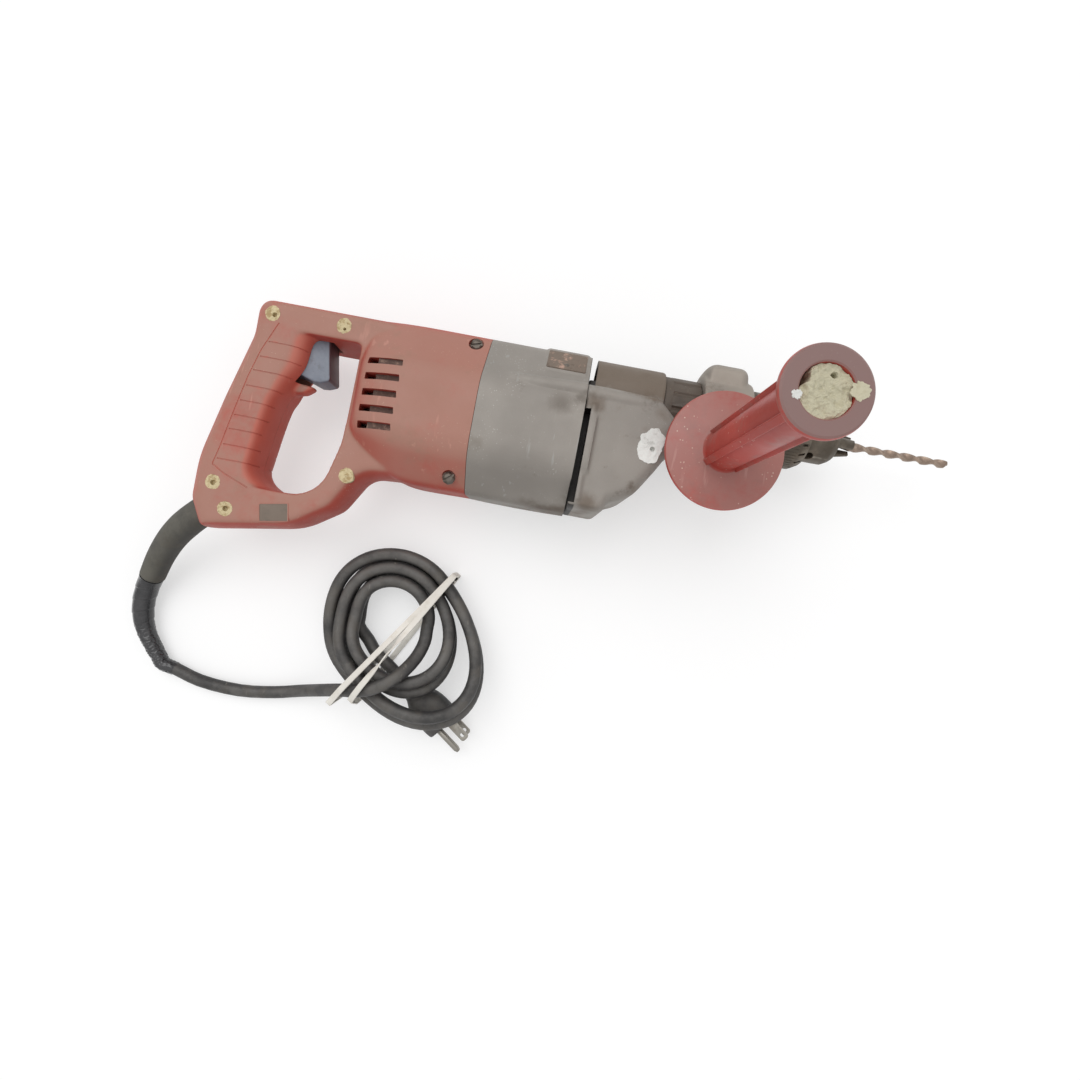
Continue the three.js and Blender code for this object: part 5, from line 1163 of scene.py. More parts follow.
# %% [markdown]
# The rear housing is the hardest form here. It is moulded in two halves and everything on it
# flows: the round motor end narrows into a flat handle, the grip swells inside the D, and a
# small stop keeps the fingers off the trigger. Each of those is easy by itself, so they are
# made apart and joined. A remesh then gives the union one skin, and smoothing it rounds every
# inner and outer corner at once, as a mould-maker's radius does. The motor end runs on past
# the joint plane first, so that cutting it there leaves a crisp rim.


# %% The housing's outer form
body_half = 42  # half the body's width
motor_bottom = 43.5
top_rise = 60.5
joint_plane = -33
handle_long = 180.3
handle_high = 157.5
section_shares = [(0.43, 1, 0, 0.29), (1, 0.45, 0, 0.6), (1, 0, 0.42, 0.6), (0.43, 0, 1, 0.3)]


def body_section(x, half, below, above):
    """A ring across the body: a rounded belly, flat sides and a narrower top."""
    corners = [
        (up * above - down * below, across * half, rounding * half)
        for across, down, up, rounding in section_shares
    ]
    corners += [(y, -z, r) for y, z, r in reversed(corners)]
    return [(x, p.x, middle + p.y) for p in rounded(corners, 7)]


def on_handle(back, down, rounding=0):
    """A place on the handle, from shares of its length and height."""
    x, y = joint_plane - back * handle_long, top_rise - down * handle_high
    return (x, y, rounding * handle_high)


cover_shares = [
    (0, 1, 1, 1),
    (0.22, 1, 1, 1),
    (0.3, 0.955, 0.9, 1),
    (0.365, 0.86, 0.78, 1),
    (0.42, 0.73, 0.66, 1),
    (0.448, 0.54, 0.64, 1),
]
cover_rings = [body_section(-24, body_half, motor_bottom, top_rise)]
for back, half, below, above in smooth_line(cover_shares, 5):
    x = joint_plane - back * handle_long
    cover_rings.append(body_section(x, half * body_half, below * motor_bottom, above * top_rise))
housing = loft("housing_right_look", cover_rings)

handle_outline = [
    (0.15, 0, 0),
    (0.88, 0, 0.07),
    (0.879, 0.149, 0.159),
    (0.946, 0.435, 0.571),
    (1, 0.702, 0.571),
    (1, 0.873, 0.076),
    (0.946, 1, 0.038),
    (0.599, 0.93, 0.286),
    (0.46, 0.822, 0.127),
    (0.377, 0.66, 0.102),
    (0.15, 0.641, 0),
]
hand_opening = [
    (0.461, 0.13, 0.019),
    (0.469, 0.543, 0.444),
    (0.524, 0.792, 0.152),
    (0.841, 0.792, 0.025),
    (0.75, 0.13, 0.025),
]
outline = [on_handle(*p) for p in handle_outline]
opening = rounded([on_handle(*p) for p in hand_opening], 6)
side_insets = (6, 13, 15, 15, 15, 12, 4, 5, 6, 6, 0)  # the rear edge is the roundest
slab = cushioned("slab", outline, side_insets, low=22, high=62, drop=17)
carved(slab, flat("hand opening", opening, 0, 90))

grip_stations = [  # how far down, then how far back its front and its middle lie
    (0.82, 0.65, 0.807),
    (0.793, 0.69, 0.812),
    (0.777, 0.722, 0.816),
    (0.752, 0.754, 0.819),
    (0.714, 0.775, 0.819),
    (0.67, 0.772, 0.813),
    (0.42, 0.736, 0.785),
    (0.38, 0.718, 0.772),
    (0.335, 0.702, 0.762),
    (0.29, 0.677, 0.75),
    (0.25, 0.662, 0.744),
    (0.2, 0.656, 0.738),
    (0.148, 0.648, 0.73),
    (0.12, 0.62, 0.725),
]
grip_half = 20  # half the grip's width
grip_deep = 16  # from its middle back into the slab
grip_rings = []
for down, inner, core in smooth_line(grip_stations, 4):
    front, y, _ = on_handle(inner, down)
    centre = joint_plane - core * handle_long
    ring = []
    for across, up in squarish(40):
        reach = front - centre if across > 0 else grip_deep
        ring.append((centre + reach * across, y, middle + grip_half * up))
    grip_rings.append(ring)
grip = loft("grip", grip_rings)

stop_rise = 9.5
stop_back = joint_plane - 0.748 * handle_long
stop_outline = [
    (stop_back, stop_rise - 8, 0),
    (stop_back + 14, stop_rise - 5.4, 5),
    (stop_back + 21.5, stop_rise + 0.4, 1.2),
    (stop_back + 12, stop_rise + 2, 6),
    (stop_back, stop_rise + 4, 0),
]
finger_stop = cushioned("stop", stop_outline, (2, 2, 2, 2, 0), low=36.5, high=47.5, drop=5)
joined(housing, slab, grip, finger_stop)
softened(housing, grain=1.15, passes=9)
print("housing skin, faces:", len(housing.data.polygons))


# %% [markdown]
# Next the spaces inside: the motor's bore, the chamber behind the vents with the rear bearing's
# ring on its web, the switch pocket, the trigger's slot and the cord guard's seat. Then what
# shows outside: five slanted vents through both sides, seven screw recesses, and the thin
# grooves of the grip panel. A groove has to follow a curved surface, so a ray is cast down on
# to the housing at each of its points and the cutter is laid there.


# %% Spaces, vents, recesses and grooves
def screw_place(back, down):
    x, y, _ = on_handle(back, down)
    return x, y


screws = {  # shares of the handle's length and height, height of the face, length of the hole
    "rear_top": (0.795, 0.076, 62, 30),
    "front_top": (0.535, 0.072, 62, 30),
    "rear_lower": (0.897, 0.803, 62, 30),
    "foot": (0.837, 0.903, 62, 30),
    "front_lower": (0.429, 0.677, 62, 30),
    "joint_top": (0.052, 0.054, 68.04, 30),
    "joint_bottom": (0.058, 0.615, 73.92, 8.4),
}

motor_axis = (0, middle)
motor_bore = 38.6
trigger_pin = (-150, 43)
chamber = block((-110.3, -16.45, 19), (-84.7, 35.05, 65))
carved(chamber, rod("X", motor_axis, 15, -100, -87))  # leaves the bearing's ring
carved(chamber, block((-94, -16.5, -1), (-90, 15, 85)))  # leaves its web
cutters = [
    block((joint_plane - 0.3, -100, -10), (0, 100, 100)),  # all that ran past the joint plane
    rod("X", motor_axis, motor_bore, -62, -20, 96),
    rod("X", motor_axis, 33, -85, -59),  # behind the motor's field
    chamber,
    rod("X", motor_axis, 11.3, -96.3, -84),  # the rear bearing's seat
    block((-186.3, 2.7, 29.7), (-171.7, 39.3, 54.3)),  # the switch pocket
    block((-172, 10, 32.15), (-138, 49, 51.85)),  # the trigger's slot
    rod("Z", trigger_pin, 2.3, 24.7, 59.3, 24),
    rod("Z", (-174, 27), 4.85, -1, 30, 40),  # the lock button's hole
]
screw_bore, recess_radius, recess_deep = 2.3, 4.8, 6
for back, down, face, reach in screws.values():
    seat = face - recess_deep
    profile = [(screw_bore, seat - reach - 0.3), (screw_bore, seat)]
    profile += [(recess_radius, seat), (recess_radius, 95)]
    cutters.append(turned("recess", "Z", screw_place(back, down), profile, 40))

vent_front, vent_long, vent_half = -82.1, 23.8, 2.15
vent_middle, vent_pitch = 6.6, 10.15
vent_rises = [vent_middle + (k - 2) * vent_pitch for k in range(5)]
for y in vent_rises:
    corners = [
        (vent_front - vent_long, y - vent_half, 0.6),
        (vent_front + 0.4, y - vent_half, 0.6),
        (vent_front - 0.4, y + vent_half, 0.6),
        (vent_front - vent_long, y + vent_half, 0.6),
    ]
    cutters.append(flat("vent", rounded(corners, 4), -1, 85))

back_way = (guard_line[0] - guard_line[1]).normalized()
seat_start = guard_line[0] + back_way * 0.3
for radius, long in ((10.4, 39.2), (13, 5.6)):
    line = [seat_start, seat_start - back_way * long]
    cutters.append(sweep("seat", line, lambda gone, angle: radius, 48))
carved(housing, *cutters)


def laid_on(piece, points, from_above=True):
    """Points moved on to a piece's surface along Z."""
    laid = []
    for x, y in points:
        start = Vector((x, y, 200 if from_above else -100)) * mm  # well clear of the tool
        way = Vector((0, 0, -1 if from_above else 1))
        hit, place, _, _ = piece.ray_cast(start, way)
        if hit:
            laid.append(place / mm)
    return laid


seam = [
    (-171.2, 43.2),
    (-172.4, 40.4),
    (-179.8, 23.1),
    (-184.6, 6.3),
    (-188.1, -10.3),
    (-191.5, -27.5),
    (-194.1, -41.9),
    (-197.1, -54.4),
]
seam_foot = [(-197.1, -54.4), (-188.2, -59.4), (-172, -65.6)]
groove_ends = [
    (-151.6, 30.1),
    (-153.8, 19.8),
    (-155.7, 10.3),
    (-158.1, -0.3),
    (-160.3, -10.5),
    (-162.4, -20.5),
    (-164.1, -30),
    (-166.2, -40.5),
    (-168.5, -50.3),
]


def seam_at(y):
    """Where the seam crosses a height."""
    for (x0, y0), (x1, y1) in zip(seam, seam[1:]):
        if y1 <= y <= y0:
            return x0 + (x1 - x0) * (y - y0) / (y1 - y0)
    return seam[-1][0]


lines = [seam, seam_foot]
for x, y in groove_ends:
    past_edge = 4.5 if y < 5 else 1  # below the finger stop the grip is slimmer
    lines.append([(x - past_edge, y), (seam_at(y) + 1.2, y)])
grooves = []
for side in (True, False):
    for i, points in enumerate(lines):
        laid = laid_on(housing, stepped(points, 1.5), side)
        if len(laid) > 2:
            groove_radius = 0.45 if i < 2 else 0.4  # the seam is a little wider
            grooves.append(from_curve(tube("cutter", laid, groove_radius)))
carved(housing, *grooves)
print("housing cut, faces:", len(housing.data.polygons), "grooves:", len(grooves))


# %% [markdown]
# The moulding parts along the tool's middle plane. The whole is copied and each copy loses one
# side, with a hair's breadth left between them, so the seam shows as it does on the tool.

# %% The two halves
low_side = housing.copy()
low_side.data = housing.data.copy()
low_side.name = "housing_left_look"
bpy.context.scene.collection.objects.link(low_side)
carved(housing, block((-300, -200, -50), (50, 200, middle + 0.1)))
carved(low_side, block((-300, -200, middle - 0.1), (50, 200, 150)))
settled(housing, "tool_body", red_moulding, "red_plastic", "housing_right", angle=40)
settled(low_side, "tool_body", red_moulding, "red_plastic", "housing_left", angle=40)
print("halves, faces:", len(housing.data.polygons), len(low_side.data.polygons))


# %% [markdown]
# Years of brown dust are caked behind the vents, except at their rear end, where the slot stays
# open and dark. Each strip is a row of rings with an uneven top.

# %% Dust in the vents
dust_long, dust_half = 17, 2.6
dust_foot, dust_top, dust_slope = 27.6, 37, 0.27  # from the middle plane; lower to the rear
strips = []
for y in vent_rises:
    for up in (1, -1):
        rings = []
        low = middle + up * dust_foot
        for i in range(dust_long + 2):
            x = vent_front - dust_long + i
            deep = dust_top + dust_slope * (x - vent_front)
            tops = []
            for aside in (-dust_half, -dust_half / 2, 0, dust_half / 2, dust_half):
                lump = noise.noise(Vector((x * 0.7, (y + aside) * 0.9, up)))
                tops.append((x, y + aside, middle + up * (deep + 0.9 * lump)))
            rings.append([(x, y - dust_half, low), *tops, (x, y + dust_half, low)])
        strips.append(loft("vent_dust", rings))
only(*strips)
bpy.ops.object.join()
settled(strips[0], "tool_body", caked_dust, "grimy_casting", angle=60)
print("dust strips", len(strips))


# %% [markdown]
# Filler was pressed into holes by hand. Such a patch has an uneven edge and an uneven top, so
# it is built from rings that start at the edge and shrink towards the middle, each point moved
# by noise. A hole left in it may lie to one side.


# %% Patches of filler
def lumpy(name, centre, reach, top, bottom, hole=0.0, aside=(0, 0), rings=22, sides=88):
    """A patch with an uneven edge and top; reach depends on the angle, top on the place."""
    angles = [2 * math.pi * k / sides for k in range(sides)]

    def ring(share, level=None):
        points = []
        for angle in angles:
            away = hole + (reach(angle) - hole) * share
            x = centre[0] + away * math.cos(angle) + aside[0] * (1 - share)
            y = centre[1] + away * math.sin(angle) + aside[1] * (1 - share)
            points.append((x, y, top(x, y) if level is None else level))
        return points

    made = [ring(1, bottom)]
    made += [ring(1 - 0.97 * i / rings) for i in range(rings + 1)]
    if hole:
        made[-1] = ring(0)
        made.append(ring(0, bottom + 0.15))
    return loft(name, made)


def uneven(base, amount, scale, seed):
    """A length that wanders with the angle, or a height that wanders with the place."""

    def measure(a, b=None):
        spot = (math.cos(a) * scale, math.sin(a) * scale, seed)
        spot = spot if b is None else (a * scale, b * scale, seed)
        return base + amount * noise.fractal(Vector(spot), 0.9, 2.1, 5)

    return measure


# %% [markdown]
# Four of the recesses hold a lump of cream filler with a hole down to the screw, one is filled
# level, and the two at the joint show a slotted head.


# %% Screws and filler
filler_holes = {
    "rear_top": (1.6, (1.3, -0.6)),
    "front_top": (1, (0.8, -2.1)),
    "rear_lower": (1.8, (0.2, -0.4)),
    "foot": (1.8, (0.3, 0.1)),
    "front_lower": (0, (0, 0)),
}
for i, (name, (back, down, face, reach)) in enumerate(screws.items()):
    place = screw_place(back, down)
    screw = dressed("housing_screw_" + name, screw_steel, "dark_steel", "tool_body", 0.3)
    top = face - 3
    if name.startswith("joint"):
        slot = block((-6, -0.7, top - 1.1), (6, 0.7, top + 2))
        carved(screw, moved(slot, spin(70 + 25 * i, "Z"), shift(*place, 0)))
        continue
    hole, aside = filler_holes[name]
    edge, rise = uneven(4.95, 0.55, 1.5, 10 * i), uneven(face + 0.05, 0.3, 0.6, 10 * i + 5)
    plaster = lumpy("plaster_" + name, place, edge, rise, top + 0.3, hole, aside)
    settled(plaster, "tool_body", plaster_cream, "plaster", angle=70)
print("screws", len(screws))


# %% [markdown]
# A bare grey plate sits in a shallow frame below the hand opening. It carries nothing here.

# %% The rating plate
plate_corners = [(-162.3, -74.6), (-144.4, -71.2), (-142.4, -82.1), (-160.3, -85.4)]
plate_middle = (-152.3, -78.4)


def plate_line(radius, longer=0.0, taller=0.0):
    """The plate's outline, drawn larger round its middle by these shares."""
    corners = []
    for x, y in plate_corners:
        wider, higher = longer * (x - plate_middle[0]), taller * (y - plate_middle[1])
        corners.append((x + wider, y + higher, radius))
    return rounded(corners, 3)


rating_plate = flat("rating_plate", plate_line(0.4), 61.2, 62.12, 0.15)
plate_rim = flat("rating_plate_rim", plate_line(0.8, 0.08, 0.1), 61.3, 62.25, 0.2)
carved(plate_rim, flat("inside", plate_line(0.5), 50, 70))
settled(rating_plate, "tool_body", plate_grey, "cast_grey")
settled(plate_rim, "tool_body", red_moulding, "red_plastic")
print("plate and rim")


# %% [markdown]
# The motor casting carries the housing's section forward in grey metal. It is cast thick, its
# rims are dressed with a file, and a pad with a small bare plate sits on its top edge. The
# bore inside takes the motor's field.

# %% Motor casting
spin_axis = (38, middle)  # of the spindle, the clamp and the chuck
casting_end = 33
bellies = [(-36, 43.4), (-20, 43.9), (0, 44.1), (20, 43.9), (36, 43.4)]  # fullest half way
sections = [body_section(x, body_half, below, top_rise) for x, below in bellies]
casting = loft("motor_casting_look", sections)
pad_slope = [(41.5, 29.8), (43.2, 31.2), (58.8, 19.8), (60.9, 16.6)]  # from the middle plane
pad_slope += [(60.9, -16.6), (58.8, -19.8), (43.2, -31.2), (41.5, -29.8)]
pad = loft("pad", [[(x, y, middle + up) for y, up in pad_slope] for x in (3.6, 31)])
eased(pad, 0.8)
bead = smooth_line([(-16, 31, 76), (2, 31, 78.2), (20, 31.6, 78.8), (33, 32, 78.8)], 8)
beads = [sweep("bead", mirrored(bead, up), lambda gone, angle: 4.4) for up in (1, -1)]
joined(casting, pad, *beads)
softened(casting, grain=0.9, passes=4)


def everything_between(x0, x1):
    """A cutter for all of the tool between two places along X."""
    return block((x0, -100, -50), (x1, 100, 150))


carved(casting, everything_between(-60, -casting_end), everything_between(casting_end, 60))
carved(casting, rod("X", motor_axis, motor_bore, -43, 43, 96))
bay = rod("X", spin_axis, 17, -28, 43)  # room for the spindle's end above the motor
carved(bay, rod("X", motor_axis, 43.3, -casting_end, casting_end, 96))
carved(casting, bay)
eased(casting, 0.6, angle=40)
settled(casting, "tool_body", cast_grey, "cast_grey", "motor_casting", angle=30)

on_pad = shift(17.3, 51.2, 67.4) @ spin(-36.2, "X")
pad_corners = [(-12.6, -9, 1), (12.6, -9, 1), (12.6, 8.2, 1), (-12.6, 8.2, 1)]
pad_plate = moved(flat("pad_plate", rounded(pad_corners, 3), -0.4, 0.45, 0.15), on_pad)
settled(pad_plate, "tool_body", painted_plate, "cast_grey")
pin_profile = [(1.9, -0.4), (1.9, 0.3), (1.3, 0.8), (0.3, 0.9)]
pin = moved(turned("pad_screw", "Z", (0, -4.6), pin_profile, 24), on_pad)
settled(pin, "tool_body", screw_steel, "dark_steel")
print("casting, faces:", len(casting.data.polygons))


# %% [markdown]
# The gearcase has a round barrel for the spindle and, below it, a deep flat box for the gears
# whose belly is one long curve. Both grow out of a rim that meets the motor casting, with a
# dark slot down each side where the cooling air leaves. Remeshing the union gives the soft
# inner corners of a casting, and the slots, the notch and the bores are cut afterwards.

# %% Gearcase
gear_front = 33.3  # just ahead of the casting
rim_places = (gear_front, 36, 39, 41.8)
gearcase = loft("gearcase_look", [body_section(x, 41.4, 41, 40.5) for x in rim_places])
belly = [
    (33.4, -41, 0),
    (55.6, -41, 4.9),
    (58.2, -34, 2),
    (72.5, -27.5, 24),
    (84.5, -8, 24),
    (90.2, 2.5, 8),
    (97.9, 9.4, 5),
    (97.7, 18.9, 4.9),
    (78.7, 36.5, 4.9),
    (33.4, 36.5, 0),
]
belly_insets = (3, 5, 7, 7, 7, 6, 4, 3, 3, 0)
gearbox = cushioned("gearbox", belly, belly_insets, low=4.2, high=79.8, drop=11)
shoulder = [(30, 31.6, 75.6), (50, 31.3, 75.8), (66, 30.9, 75.4), (76.5, 30.6, 74.4)]
shoulder = smooth_line(shoulder, 8)
slot_lip = [Vector((38.7, y, middle + 37.2)) for y in range(-36, 26, 3)]
ridges = []
for up in (1, -1):
    ridges.append(sweep("shoulder", mirrored(shoulder, up), lambda gone, angle: 5.2))
    ridges.append(sweep("lip", mirrored(slot_lip, up), lambda gone, angle: 2))
barrel = turned("barrel", "X", spin_axis, [(24.9, 33.4), (24.9, 82.4), (24.3, 83)], 96)
joined(gearcase, gearbox, barrel, *ridges)
softened(gearcase, grain=0.9, passes=3)
idler_axis = (15.04, 32.11)
carved(
    gearcase,
    everything_between(0, gear_front),
    rod("X", spin_axis, 23.5, 83, 150, 96),  # ahead of the barrel
    rod("X", spin_axis, 21, 30, 78, 64),  # room for the spindle's gear
    rod("X", idler_axis, 25.5, 30, 55.66, 64),
    rod("X", idler_axis, 12, 50, 70, 48),
    rod("X", motor_axis, 9, 30, 60, 48),
    rod("X", spin_axis, 12.8, 70, 90, 48),
    block((33, -38, 66), (37.3, 21, 90)),  # the air slots, right and left
    block((33, -38, -10), (37.3, 21, 18)),
    block((33, 42.5, -10), (37.5, 70, 100)),  # the notch over the barrel
)
settled(gearcase, "tool_body", gearcase_grey, "grimy_casting", "gearcase", angle=35)
print("gearcase, faces:", len(gearcase.data.polygons))


# %% [markdown]
# A hole in the gearcase's cheek was filled once with white paste, which has a small hole of its
# own to one side.

# %% The white patch
ragged = uneven(9.2, 1.7, 1.7, 3)
patch_top = uneven(80.25, 0.3, 0.4, 8)


def patch_edge(angle):
    """Ragged, and longer one way than the other."""
    return ragged(angle) + 1.5 * math.cos(2 * angle - 2.6)


patch = lumpy(
    "white_patch", (77.6, 5.4), patch_edge, patch_top, bottom=77, hole=1.5, aside=(1.2, -2.2)
)
carved(gearcase, rod("Z", (78.8, 3.2), 3, 76.6, 90, 32))
settled(patch, "tool_body", plaster_white, "plaster", angle=60)
print("patch, faces:", len(patch.data.polygons))


# %% [markdown]
# The nose ahead of the gearcase carries the ring that chooses between drilling and hammering,
# then the clamp of the side handle. The clamp is a cast ring with a tall lug above and a split
# boss below, so it is joined, remeshed and cut like the gearcase.

# %% Mode ring, nose and clamp
dressed("nose_sleeve", nose_grime, "dark_steel", "tool_body", 0.3)
dressed("mode_ring", nose_grime, "grey_plastic", "mode_ring", 0.35, limit=25)

stud_axis, stud_hole = (121.1, 9), 4.8
clamp_rear, clamp_front = 107.4, 140
clamp = rod("X", spin_axis, 27.4, clamp_rear, clamp_front, 96)
lug_corners = [(clamp_rear, 38, 0), (clamp_front, 38, 0), (138, 73.3, 8), (108.6, 73.3, 8)]
lug = cushioned("lug", lug_corners, (0, 8, 8, 3), low=22.1, high=61.9, drop=17)
boss = rod("Z", stud_axis, 11.5, 16, 73, 72)
web = block((109.6, 9, 16), (132.6, 38, 68))
joined(clamp, lug, boss, web)
clamp.name = clamp.data.name = "clamp_ring_look"
softened(clamp, grain=0.9, passes=3)
carved(
    clamp,
    block((100, -10, 72.9), (150, 25, 90)),  # the seat of the side handle
    rod("X", spin_axis, 20.8, 100, 150, 96),
    block((100, -10, 40.5), (150, 38, 43.5)),  # the split that the stud draws together
    rod("Z", stud_axis, stud_hole, 0, 90, 48),
)
settled(clamp, "clamp", clamp_grey, "cast_grey", "clamp_ring", angle=35)
dressed("clamp_stud", screw_steel, "bright_steel", "clamp", 0.3, limit=40)
print("clamp, faces:", len(clamp.data.polygons))


# %% [markdown]
# The side handle stands straight up, so the camera looks down into its hollow end. It is turned
# like a bobbin: a wide flange that guards the hand, a slim barrel and a thick end. Four ribs
# run up the barrel, and their worn edges catch the light. The hollow end is filled with a
# rough cream paste that broke away at the left and has a round hole near the top.

# %% Side handle
handle_profile = [
    (13, 73.3),
    (13, 83.5),
    (34.9, 83.5),
    (36, 84.1),
    (36.4, 85.2),
    (36.4, 86.2),
    (36, 87.3),
    (34.9, 87.9),
    (16, 88),
    (14, 88.7),
    (12.9, 90),
    (12.5, 92),
    (12.5, 199.5),
    (12.9, 202),
    (14.4, 204.4),
    (17.4, 206.6),
    (18.7, 207.5),
    (19.4, 208.8),
    (19.4, 210),
    (19, 211.1),
    (18.1, 211.7),
    (12, 211.7),
    (11.4, 211.2),
    (11.3, 200),
]
handle = turned("side_handle_look", "Z", stud_axis, handle_profile, 128)
for k in range(4):
    rib = eased(block((11, -2.1, 85.75), (14.9, 2.1, 208.5)), 0.45)
    joined(handle, moved(rib, spin(-138 + 90 * k, "Z"), shift(*stud_axis, 0)))
carved(handle, rod("Z", stud_axis, stud_hole, 60, 112.3, 48))
settled(handle, "side_handle", handle_red, "handle_red", "side_handle", angle=30)


def filler_edge(angle):
    """Full to the wall except at the left, where it broke away."""
    gone = math.exp(-(((angle - math.radians(158)) / 0.42) ** 2))
    ragged = noise.noise(Vector((math.cos(angle) * 2.6, math.sin(angle) * 2.6, 1)))
    return min(11.2, 12.1 - 4.6 * gone + 1.1 * ragged)


def filler_top(x, y):
    """Lumps with broken edges, below the handle's end."""
    lumps = noise.fractal(Vector((x * 0.16, y * 0.16, 4)), 0.7, 2.2, 6)
    broken = abs(noise.noise(Vector((x * 0.3, y * 0.3, 9))))
    return min(211.6, 209.9 + 1.7 * lumps - 0.8 * broken)


filler = lumpy(
    "handle_filler_look", stud_axis, filler_edge, filler_top, 200.3, rings=40, sides=150
)
carved(filler, turned("pit", "Z", (123.6, 16.2), [(0.7, 203), (1.3, 206), (1.5, 214)], 24))
settled(filler, "side_handle", filler_stone, "plaster", "handle_filler", angle=70)


def smear_top(x, y):
    return 211.9 + 0.09 * noise.noise(Vector((x, y, 0)))


on_rim = 211.55  # just inside the handle's end
smear = lumpy("filler_smear", (133.6, 11.2), uneven(3.7, 1.5, 1.5, 12), smear_top, on_rim)
settled(smear, "side_handle", filler_stone, "plaster", angle=70)
chip_edge, chip_top = uneven(2.1, 0.9, 1.4, 30), uneven(211.85, 0.1, 1, 5)
chip = lumpy("filler_chip", (109.2, 5.2), chip_edge, chip_top, on_rim)
settled(chip, "side_handle", plaster_white, "plaster", angle=70)
print("handle and filler, faces:", len(handle.data.polygons), len(filler.data.polygons))


# %% [markdown]
# The chuck is a turned steel body with a knurled sleeve over it. The sleeve's front edge is a
# ring of teeth for the key, the nose has three key holes, and three jaws slide in slanting
# bores and close on the bit. All of it is brown with oil and dust.

# %% Chuck
chuck_profile = [
    (22.2, 142.6),
    (23.7, 144.1),
    (23.7, 148.6),
    (22.7, 149.6),
    (19.6, 149.6),
    (19.6, 171.76),
    (14.5, 171.76),
    (14.5, 177.56),
    (15.5, 177.56),
    (15.5, 199.3),
    (14.9, 200.4),
    (13.6, 202.8),
    (12, 204.6),
]
chuck = turned("chuck_body_look", "X", spin_axis, chuck_profile)
jaw_slant = math.radians(13)
jaw_tip, jaw_out = Vector((217, *spin_axis)), 3
key_place = Vector((187, *spin_axis))


def outwards(turn):
    return Vector((0, math.cos(turn), math.sin(turn)))


jaw_bores = []
key_holes = []
for k in range(3):
    turn = math.pi / 2 + 2 * math.pi * k / 3
    out, between_jaws = outwards(turn), outwards(turn + math.pi / 3)
    back = Vector((-math.cos(jaw_slant), 0, 0)) + out * math.sin(jaw_slant)
    tip = jaw_tip + out * jaw_out
    bore_line = [tip - back * 3.8, tip + back * 61.1]
    jaw_bores.append(sweep("bore", bore_line, lambda gone, angle: 4.1, 32))
    hole_line = [key_place + between_jaws * d for d in (8.5, 20)]
    key_holes.append(sweep("key", hole_line, lambda gone, angle: 3.2, 32))
carved(
    chuck,
    rod("X", spin_axis, 8.2, 140, 162.6, 48),
    rod("X", spin_axis, 6.65, 180.4, 210, 48),
    *jaw_bores,
    *key_holes,
)
settled(chuck, "spindle", chuck_steel, "dark_steel", "chuck_body", angle=30)

sleeve_profile = [
    (20.3, 149.9),
    (21.6, 149.9),
    (22.4, 150.7),
    (22.4, 155),
    (21.9, 155.5),
    (21.9, 156.1),
    (22.4, 156.6),
    (22.4, 178.3),
    (19.4, 183.5),
    (16.8, 183.5),
    (16.8, 177.56),
    (20.3, 177.56),
]
sleeve = turned("chuck_sleeve_look", "X", spin_axis, sleeve_profile, 120)
to_axis = shift(0, *spin_axis)
cuts = []
for k in range(20):  # gaps between the key's teeth, on the slanting front edge
    gap = moved(block((-1.6, -5.2, -0.8), (0.3, 5.2, 0.8)), spin(45, "Z"), shift(180.9, 20.9, 0))
    cuts.append(moved(gap, spin(18 * (k + 0.5), "X"), to_axis))
for k in range(60):  # the knurl's grooves
    knurl = block((158, 22.2, -0.22), (176, 23, 0.22))
    cuts.append(moved(knurl, spin(6 * k, "X"), to_axis))
only(*cuts)
bpy.ops.object.join()
carved(sleeve, cuts[0])
settled(sleeve, "chuck_sleeve", chuck_steel, "dark_steel", "chuck_sleeve", angle=30)
for k in (1, 2, 3):
    dressed(f"chuck_jaw_{k}", chuck_steel, "bright_steel", f"jaw_{k}", 0.2)
print("chuck, faces:", len(chuck.data.polygons), len(sleeve.data.polygons))


# %% [markdown]
# A twist bit is one section wound along its axis. The section has two lands and two flutes, and
# its ring is drawn every half millimetre, turned a little further each time, down to the point.

# %% Twist bit
bit_radius = 3.175
bit_tip = 285
half_point = math.radians(59)
flute_start, flute_pitch = 220.2, 23.5
flute_steps, cone_steps = 120, 6
cone_start = bit_tip - bit_radius / math.tan(half_point)
section = [0.9, 0.89, 0.66, 0.5, 0.44, 0.42, 0.44, 0.5, 0.58, 0.72, 0.82, 0.87] * 2


def bit_ring(x, scale, fluted):
    """The bit's section at a place; fluted grows from 0, a round shank, to 1."""
    turn = 2 * math.pi * (x - flute_start) / flute_pitch
    y, z = spin_axis
    ring = []
    for k, share in enumerate(section):
        angle = 2 * math.pi * k / len(section) + turn
        reach = bit_radius * scale * (1 + (share - 1) * fluted)
        ring.append((x, y + reach * math.cos(angle), z + reach * math.sin(angle)))
    return ring


bit_rings = [bit_ring(x, 1, 0) for x in (183.4, 200, 217)]
for i in range(flute_steps + 1):
    x = flute_start + (cone_start - flute_start) * i / flute_steps
    bit_rings.append(bit_ring(x, 1, min(1, i / 8)))
for i in range(1, cone_steps + 1):
    x = cone_start + (bit_tip - cone_start) * i / cone_steps
    bit_rings.append(bit_ring(x, 1 - 0.95 * i / cone_steps, 1))
bit = loft("twist_bit_look", bit_rings)
settled(bit, "spindle", bit_steel, "bit_steel", "twist_bit", angle=32)
print("bit, faces:", len(bit.data.polygons))


# %% [markdown]
# The trigger is a hollow grey moulding that the forefinger has polished. Its outline is the
# solid's own, drawn with rounder corners and a soft edge, and its studs turn in the housing.

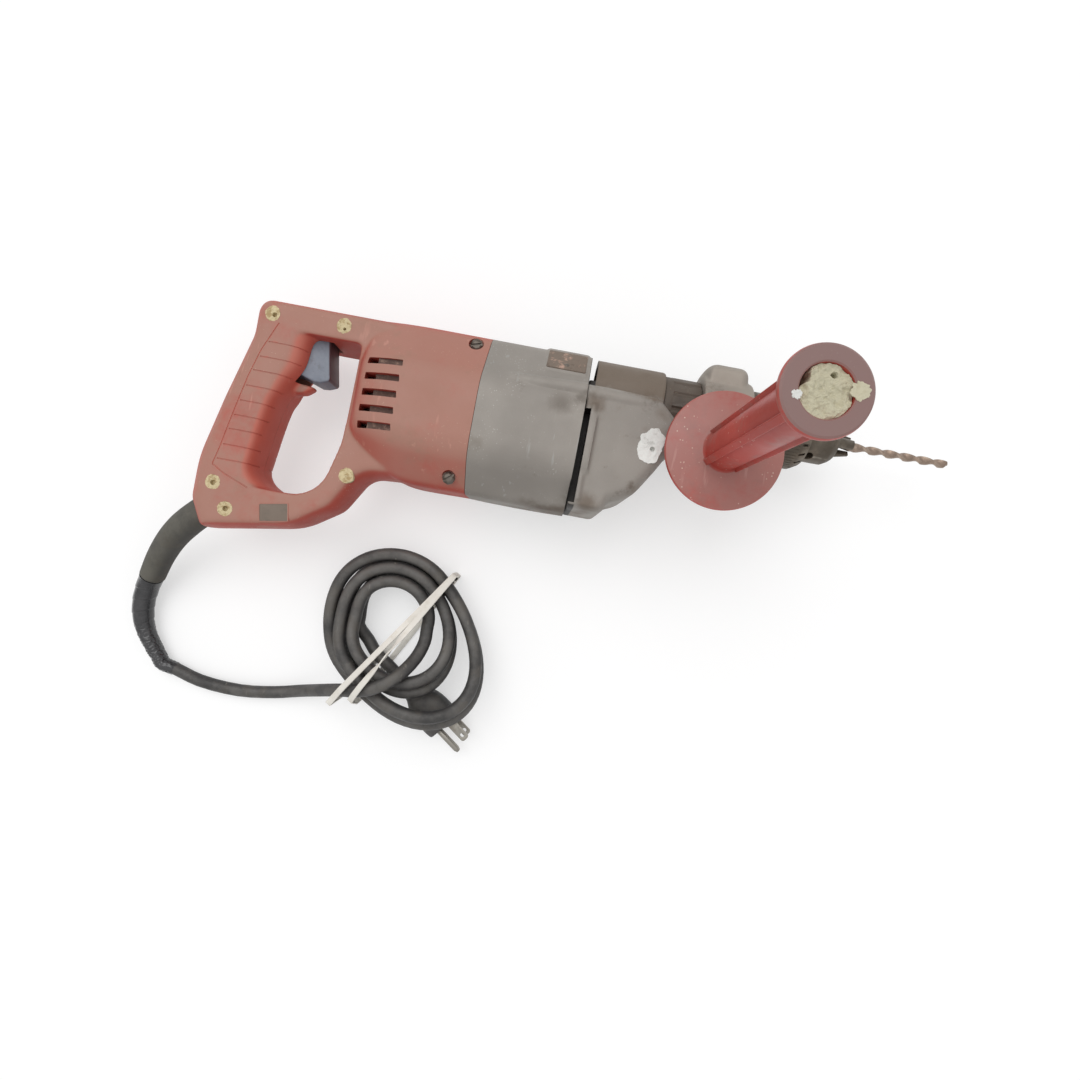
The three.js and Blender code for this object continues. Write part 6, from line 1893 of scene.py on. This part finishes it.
# %% Trigger and lock button
trigger_shares = [
    (0.3, 0.1, 0.1),
    (0.325, -0.07, 0.2),
    (0.405, -0.5, 0.3),
    (0.5, -0.965, 0.08),
    (0.29, -1.05, 0.1),
    (0.13, -1.065, 0.1),
    (-0.11, -0.99, 0.1),
    (-0.3, -0.93, 0.1),
    (-0.62, -0.9, 0.1),
    (-0.62, -0.1, 0.1),
    (-0.25, 0.15, 0.15),
    (0.05, 0.15, 0.15),
]
trigger_long, trigger_high = 28, 29
trigger_corners = []
for ahead, up, rounding in trigger_shares:  # from the pin, in shares of its length and height
    x, y = trigger_pin[0] + ahead * trigger_long, trigger_pin[1] + up * trigger_high
    trigger_corners.append((x, y, rounding * trigger_high))
trigger = flat("trigger_look", rounded(trigger_corners, 6), 32.5, 51.5, 1.4)
joined(trigger, rod("Z", trigger_pin, 2, 25, 59, 32))
settled(trigger, "trigger", trigger_grey, "grey_plastic", "trigger", angle=40)
dressed("lock_button", black_moulding, "black_plastic", "lock_button", 0.4)
print("trigger, faces:", len(trigger.data.polygons))


# %% [markdown]
# What lies inside keeps its solid's form: the motor, the gears, the switch and the bearings
# show only through the vents and the slots. Each still gets the surface of its own material.
# On the tool the hammer's spring shortens as the spindle is pushed back; here it is dressed and
# gets a mesh of its own.

# %% Surfaces of the inner pieces
inner_finishes = {
    screw_steel: (
        "field_stack armature_core armature_shaft fixed_ratchet moving_ratchet thrust_washer"
    ),
    bright_steel: (
        "armature_rear_bearing armature_front_bearing idler_gear idler_pinion spindle "
        "spindle_gear spindle_bearing chuck_nut"
    ),
    copper: (
        "field_winding_upper field_winding_lower armature_winding commutator "
        "brush_holder_upper brush_holder_lower"
    ),
    carbon: "brush_upper brush_lower",
    black_moulding: "switch_body fan",
    cast_grey: "bearing_plate",
}
for material, names in inner_finishes.items():
    for name in names.split():
        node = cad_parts[name]
        node.data.materials.clear()
        node.data.materials.append(material)
print("inner pieces:", sum(len(names.split()) for names in inner_finishes.values()))

spring = dressed("hammer_spring", screw_steel, "dark_steel", "tool_body", 0)
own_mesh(spring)
